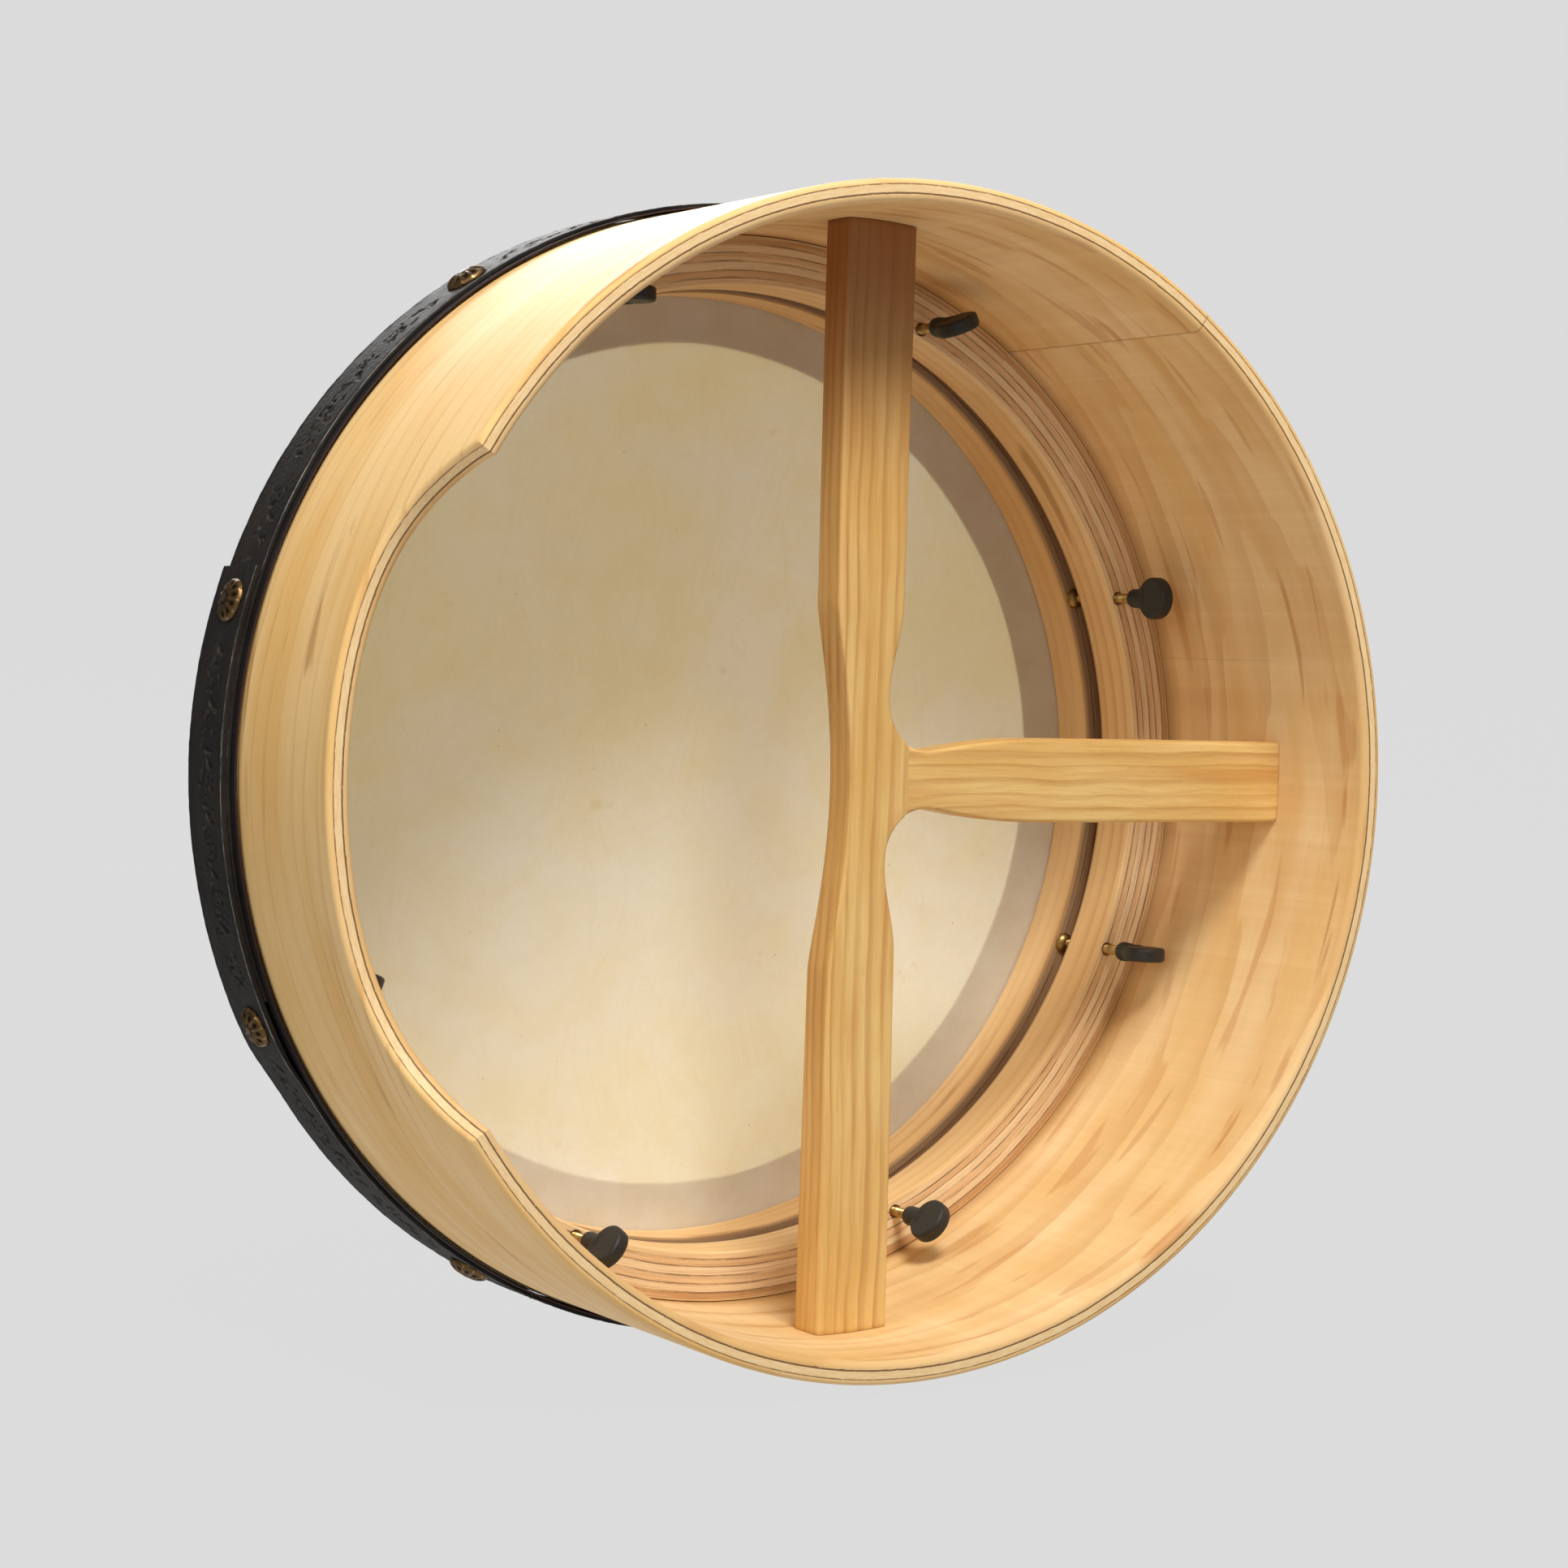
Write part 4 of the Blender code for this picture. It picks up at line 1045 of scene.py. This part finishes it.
def make_band():
    # lining: a thin leather strip under the strap, showing at both edges
    outline = rounded([(204.25, 109.5), (204.9, 109.5), (204.9, 143.1), (204.25, 143.1)], [0.15, 0.3, 0.3, 0.15], 3)
    angle = np.linspace(-math.pi, math.pi, 720, endpoint=False)
    rows = []
    for r, d in spread(outline, 2.0):
        wave = (0.10 * np.sin(7 * angle) + 0.06 * np.sin(31 * angle + 2)) if d < 112 else 0 * angle
        rows.append(drum(angle, np.full(720, r), 0 * angle + d + wave))
    lining = to_object("band_lining_visual", np.concatenate(rows), grid_faces(len(rows), 720, True, True), MAT["band"])
    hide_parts("band_lining")
    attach(lining, "frame")

    # strap: one strip that goes round once and laps over its own start
    begin, end = -22.5, 379.0
    columns = int(math.radians(end - begin) * 206 / 0.5)
    sweep = np.linspace(begin, end, columns)
    a = np.radians(sweep)
    ramp = np.clip((sweep - 326.0) / 7.5, 0, 1)
    lift = 1.95 * ramp * ramp * (3 - 2 * ramp)
    thin = np.clip((sweep - 333.5) / 2.0, 0, 1) * 0.0
    top_r = 206.1 + lift - thin
    low_r = 205.1 + np.where(lift > 0, np.minimum(lift, 1.4), 0)
    depths = np.concatenate([[113.5, 113.52, 113.62, 113.8], np.arange(114.1, 142.2, 0.5), [142.4, 142.58, 142.68, 142.7]])
    shoulder = np.concatenate([[-0.42, -0.26, -0.10, -0.02], np.zeros(len(depths) - 8), [-0.02, -0.10, -0.26, -0.42]])
    grid_a = np.repeat(a[None, :], len(depths), 0)
    grid_d = np.repeat(depths[:, None], columns, 1)
    height, cut, lip = strap_relief(grid_a, grid_d)
    random = np.random.default_rng(5)
    bumps = sum(
        0.018 * np.sin(grid_a * k + p) * np.sin(grid_d * q + p * 2)
        for k, q, p in zip(random.uniform(60, 500, 10), random.uniform(0.3, 2.2, 10), random.uniform(0, 6.3, 10))
    )
    # the leather sinks a little under each tack
    dent = np.zeros(grid_a.shape)
    for degrees in TACKS:
        da = np.mod(grid_a - math.radians(degrees) + math.pi, 2 * math.pi) - math.pi
        away = np.hypot(da * 206, grid_d - 126.5)
        dent -= 0.22 * np.exp(-(((away - 8.2) / 1.8) ** 2)) + 0.25 * (away < 6.9)
    over = (grid_a > math.radians(337.5)) | (grid_a < math.radians(0.0)) & False
    hidden = grid_a < math.radians(20.5)
    relief = np.where(hidden, 0, height + bumps + dent)
    radius = top_r[None, :] + shoulder[:, None] + relief
    limit = np.where(a < math.radians(20.5), 206.1, 999.0)
    radius = np.minimum(radius, limit[None, :])
    wave = 0.12 * np.sin(grid_a * 13 + 1) + 0.07 * np.sin(grid_a * 41)
    rear = np.exp(-((grid_d - 113.5) / 1.2) ** 2) + np.exp(-((grid_d - 142.7) / 1.2) ** 2)
    rows = [drum(a, radius[i], 0) - [0, 1, 0] * (grid_d[i] + wave[i] * rear[i])[:, None] for i in range(len(depths))]
    shade = [cut[i] for i in range(len(depths))]
    light = [lip[i] for i in range(len(depths))]
    for d in (142.7, 128.1, 113.5):
        r = np.maximum(low_r, 0)
        rows.append(drum(a, r, 0) - [0, 1, 0] * np.full(columns, d)[:, None])
        shade.append(np.zeros(columns))
        light.append(np.zeros(columns))
    count = len(rows)
    faces = grid_faces(count, columns, True, False)
    faces.append([i * columns for i in range(count)])
    faces.append([i * columns + columns - 1 for i in range(count)][::-1])
    strap = to_object(
        "tooled_strap_visual",
        np.concatenate(rows),
        faces,
        MAT["strap"],
        {"tool": np.concatenate(shade), "lip": np.concatenate(light)},
        sharp=70,
    )
    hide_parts("tooled_strap")
    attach(strap, "frame")


def head_mesh(name, material, radius, rings, columns, shape, tail=()):
    """A round head seen from above: shape(distance, angle) gives its height and wear, tail the shank's (r, height)."""
    distance = np.concatenate([[0.0], np.linspace(0.02, 1.0, rings)]) * radius
    angle = np.linspace(0, 2 * math.pi, columns, endpoint=False)
    rho, phi = np.meshgrid(distance, angle, indexing="ij")
    height, wear = shape(rho, phi)
    points = np.stack([rho * np.cos(phi), rho * np.sin(phi), height], -1).reshape(-1, 3)
    skirt = np.stack([(radius - 0.35) * np.cos(angle), (radius - 0.35) * np.sin(angle), np.full(columns, -0.25)], 1)
    edge = np.stack([(radius + 0.0) * np.cos(angle), (radius + 0.0) * np.sin(angle), height[-1] - 0.30], 1)
    shank = [np.stack([r * np.cos(angle), r * np.sin(angle), np.full(columns, h)], 1) for r, h in tail]
    points = np.concatenate([points, edge, skirt] + shank)
    wear = np.concatenate([wear.ravel(), np.full(columns, 0.6), np.full(columns * (1 + len(tail)), 0.1)])
    return to_object(
        name, points, grid_faces(len(distance) + 2 + len(tail), columns, False, True), material, {"wear": wear}, merge=0.0005, sharp=55
    )


def tack_shape(rho, phi):
    u = rho / 7.5
    dome = 0.25 + 2.85 * np.sqrt(np.clip(1 - u**2 * 0.985, 0, 1))
    petals = 11
    cycle = phi * petals
    off = np.mod(cycle + math.pi, 2 * math.pi) - math.pi
    reach = np.clip((u - 0.26) / 0.20, 0, 1)
    scoop = reach * (0.5 + 0.5 * np.cos(off)) ** 0.8
    ridge = reach * np.exp(-((np.abs(off) - math.pi) / 0.55) ** 2)
    side = off / petals * rho
    dimple = np.exp(-(((rho - 5.35) / 0.95) ** 2 + (side / 0.85) ** 2))
    ring = np.exp(-(((rho - 5.35) / 1.45) ** 2 + (side / 1.25) ** 2)) - dimple
    groove = np.exp(-(((rho - 2.1) / 0.35) ** 2))
    centre = np.exp(-((rho / 1.0) ** 2))
    height = dome - 0.20 * scoop - 0.50 * dimple + 0.10 * ridge + 0.18 * ring - 0.16 * groove + 0.12 * centre
    height = np.where(u > 0.985, np.minimum(height, 0.42), height)
    wear = 0.40 + 0.30 * ridge - 0.42 * dimple + 0.60 * ring - 0.25 * groove + 0.25 * centre + 0.22 * (u > 0.94) - 0.1 * scoop
    return height, np.clip(wear, 0, 1)


def cross_shape(rho, phi):
    x, y = rho * np.cos(phi + 0.4), rho * np.sin(phi + 0.4)
    arm = np.maximum(
        (np.abs(x) < 0.42) & (np.abs(y) < 1.9), (np.abs(y) < 0.42) & (np.abs(x) < 1.9)
    )
    height = 0.32 - 0.05 * (rho / 3.5) ** 2 - 1.0 * arm * np.clip(1.35 - rho / 2.2, 0.3, 1)
    height = np.where(rho > 3.4, height - 0.12, height)
    return height, np.where(arm, 0.1, 0.7)


def radial(degrees, r, depth, spin=0.0):
    """Local Z points out from the drum at that angle, local X along its axis."""
    a = math.radians(degrees)
    out = Vector((math.cos(a), 0, math.sin(a)))
    x = Vector((0, 1, 0))
    y = out.cross(x)
    m = Matrix((x, y, out)).transposed().to_4x4()
    m.translation = Vector((r * MM * math.cos(a), (REAR_Y - depth) * MM, r * MM * math.sin(a)))
    return m @ Matrix.Rotation(spin, 4, "Z")


def make_fasteners():
    tack = head_mesh("tack_source", MAT["tack"], 7.6, 46, 176, tack_shape)
    for k, degrees in enumerate(TACKS, 1):
        base = 208.05 if k in (2, 3) else 206.15
        obj = place(tack, f"tack_{k}_visual", radial(degrees, base, 126.5, 0.7 * k))
        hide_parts(f"tack_{k}")
        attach(obj, "frame")
    discard(tack)
    # countersunk wood screws that hold the bar ends, their heads level with the shell
    tail = [(1.95, -2.4), (1.95, -8.0), (1.6, -9.0), (1.5, -25.0), (0.6, -29.2), (0.0, -30.0)]
    screw = head_mesh("bar_screw_source", MAT["steel"], 3.5, 40, 96, cross_shape, tail)
    for name in sorted(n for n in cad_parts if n.startswith("bar_screw")):
        middle = sum((Vector(corner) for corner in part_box(name)), Vector()) * 0.5
        degrees = math.degrees(math.atan2(middle.z, middle.x))
        obj = place(screw, name + "_visual", radial(degrees, 203.12, REAR_Y - middle.y / MM, degrees))
        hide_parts(name)
        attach(obj, "frame")
    discard(screw)


MADE = {}
make_shell()
make_crossbar()
make_ring()
make_screws()
make_skin()
make_band()
make_fasteners()

# CAD solids that keep their own shape get the finished materials
for name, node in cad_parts.items():
    if name.startswith("lug_insert"):
        kept = MAT["insert"]
    elif name == "joint_dowel":
        kept = MAT["dowel"]
    else:
        continue
    node.data.materials.clear() if not node.material_slots else None
    if not node.material_slots:
        node.data.materials.append(kept)
    for slot in node.material_slots:
        slot.link = "OBJECT"
        slot.material = kept


# ------------------------------------------------------------- stage and light
def make_stage():
    t = Tree("backdrop", rough=0.95, specular=0.0)
    tone = t.noise(t.x * 0.0006, t.y * 0.0006, t.z * 0.0006, 1.0)
    t.finish(t.mix(t.ease(tone, 0.2, 0.8), (24, 24, 24), (26, 26, 26)))
    t.shader.inputs["Emission Color"].default_value = (1.0, 1.0, 1.0, 1.0)
    t.shader.inputs["Emission Strength"].default_value = 0.705
    floor = cad_box[0][2] / MM - 0.3
    radius, bend, wall = 5200.0, 2600.0, 5200.0
    line = [(0, floor), (800, floor), (1600, floor), (radius - bend, floor)]
    line += [
        (radius - bend + bend * math.sin(a), floor + bend - bend * math.cos(a))
        for a in np.linspace(0, math.pi / 2, 25)[1:]
    ]
    line += [(radius, wall)]
    angle = np.linspace(0, 2 * math.pi, 96, endpoint=False)
    rows = [np.stack([r * np.cos(angle), r * np.sin(angle), np.full(96, h)], 1) for r, h in line]
    cove = to_object("backdrop", np.concatenate(rows), grid_faces(len(rows), 96, False, True), t.material, merge=0.01)
    cove.visible_diffuse = cove.visible_glossy = False  # the world's light stands in for its bounce


def area(name, place_at, look_at, size, watts, colour=(1, 1, 1)):
    data = bpy.data.lights.new(name, "AREA")
    data.shape, data.size, data.energy, data.color = "DISK", size, watts, colour
    obj = bpy.data.objects.new(name, data)
    obj.location = place_at
    obj.rotation_euler = (Vector(look_at) - Vector(place_at)).to_track_quat("-Z", "Y").to_euler()
    bpy.context.scene.collection.objects.link(obj)


make_stage()
world = bpy.data.worlds.new("studio")
bpy.context.scene.world = world
world.use_nodes = True
sky = world.node_tree
direction = sky.nodes.new("ShaderNodeTexCoord")
parts = sky.nodes.new("ShaderNodeSeparateXYZ")
sky.links.new(direction.outputs["Generated"], parts.inputs[0])
levels = sky.nodes.new("ShaderNodeValToRGB")
ramp = levels.color_ramp
ramp.interpolation = "EASE"
for place_on, level in ((0.0, 0.80), (0.25, 0.62), (0.46, 0.20), (0.62, 0.24), (1.0, 0.40)):
    stop = ramp.elements[0] if place_on == 0.0 else ramp.elements[-1] if place_on == 1.0 else ramp.elements.new(place_on)
    stop.position, stop.color = place_on, (level, level, level, 1.0)
half = sky.nodes.new("ShaderNodeMath")
half.operation, half.inputs[1].default_value, half.inputs[2].default_value = "MULTIPLY_ADD", 0.5, 0.5
sky.links.new(parts.outputs["Z"], half.inputs[0])
sky.links.new(half.outputs[0], levels.inputs[0])
sky.links.new(levels.outputs[0], sky.nodes["Background"].inputs[0])
sky.nodes["Background"].inputs[1].default_value = 1.0
area("key", (0.5, 1.65, 2.5), (0.0, 0.0, 0.0), 1.1, 92.0, (1.0, 0.985, 0.96))
area("front", (-0.9, -2.8, 1.6), (0.0, 0.0, 0.0), 1.6, 60.0)
area("side", (2.3, 1.5, 0.7), (0.0, 0.0, 0.0), 1.5, 14.0, (1.0, 0.955, 0.88))

# ------------------------------------------------------------------ the camera
azimuth, elevation, roll = math.radians(147.52), math.radians(2.15), math.radians(1.64)
back = Vector(
    (math.sin(azimuth) * math.cos(elevation), -math.cos(azimuth) * math.cos(elevation), math.sin(elevation))
)
right = Vector((0, 0, 1)).cross(back).normalized()
up = back.cross(right)
right2 = right * math.cos(roll) + up * math.sin(roll)
up2 = up * math.cos(roll) - right * math.sin(roll)
R = SHELL_R * MM
data = bpy.data.cameras.new("camera")
data.sensor_width, data.sensor_height, data.lens = 36.0, 36.0, 4045 * 36 / 1932
data.clip_start, data.clip_end = 0.02, 60.0
camera = bpy.data.objects.new("camera", data)
matrix = Matrix((right2, up2, back)).transposed().to_4x4()
matrix.translation = back * (5.451 * R) + right * (-0.2430 * R) + up * (-0.0032 * R) + Vector((0, REAR_Y * MM, 0))
camera.matrix_world = matrix
bpy.context.scene.collection.objects.link(camera)
bpy.context.scene.camera = camera
bpy.context.scene.view_settings.view_transform = "Standard"
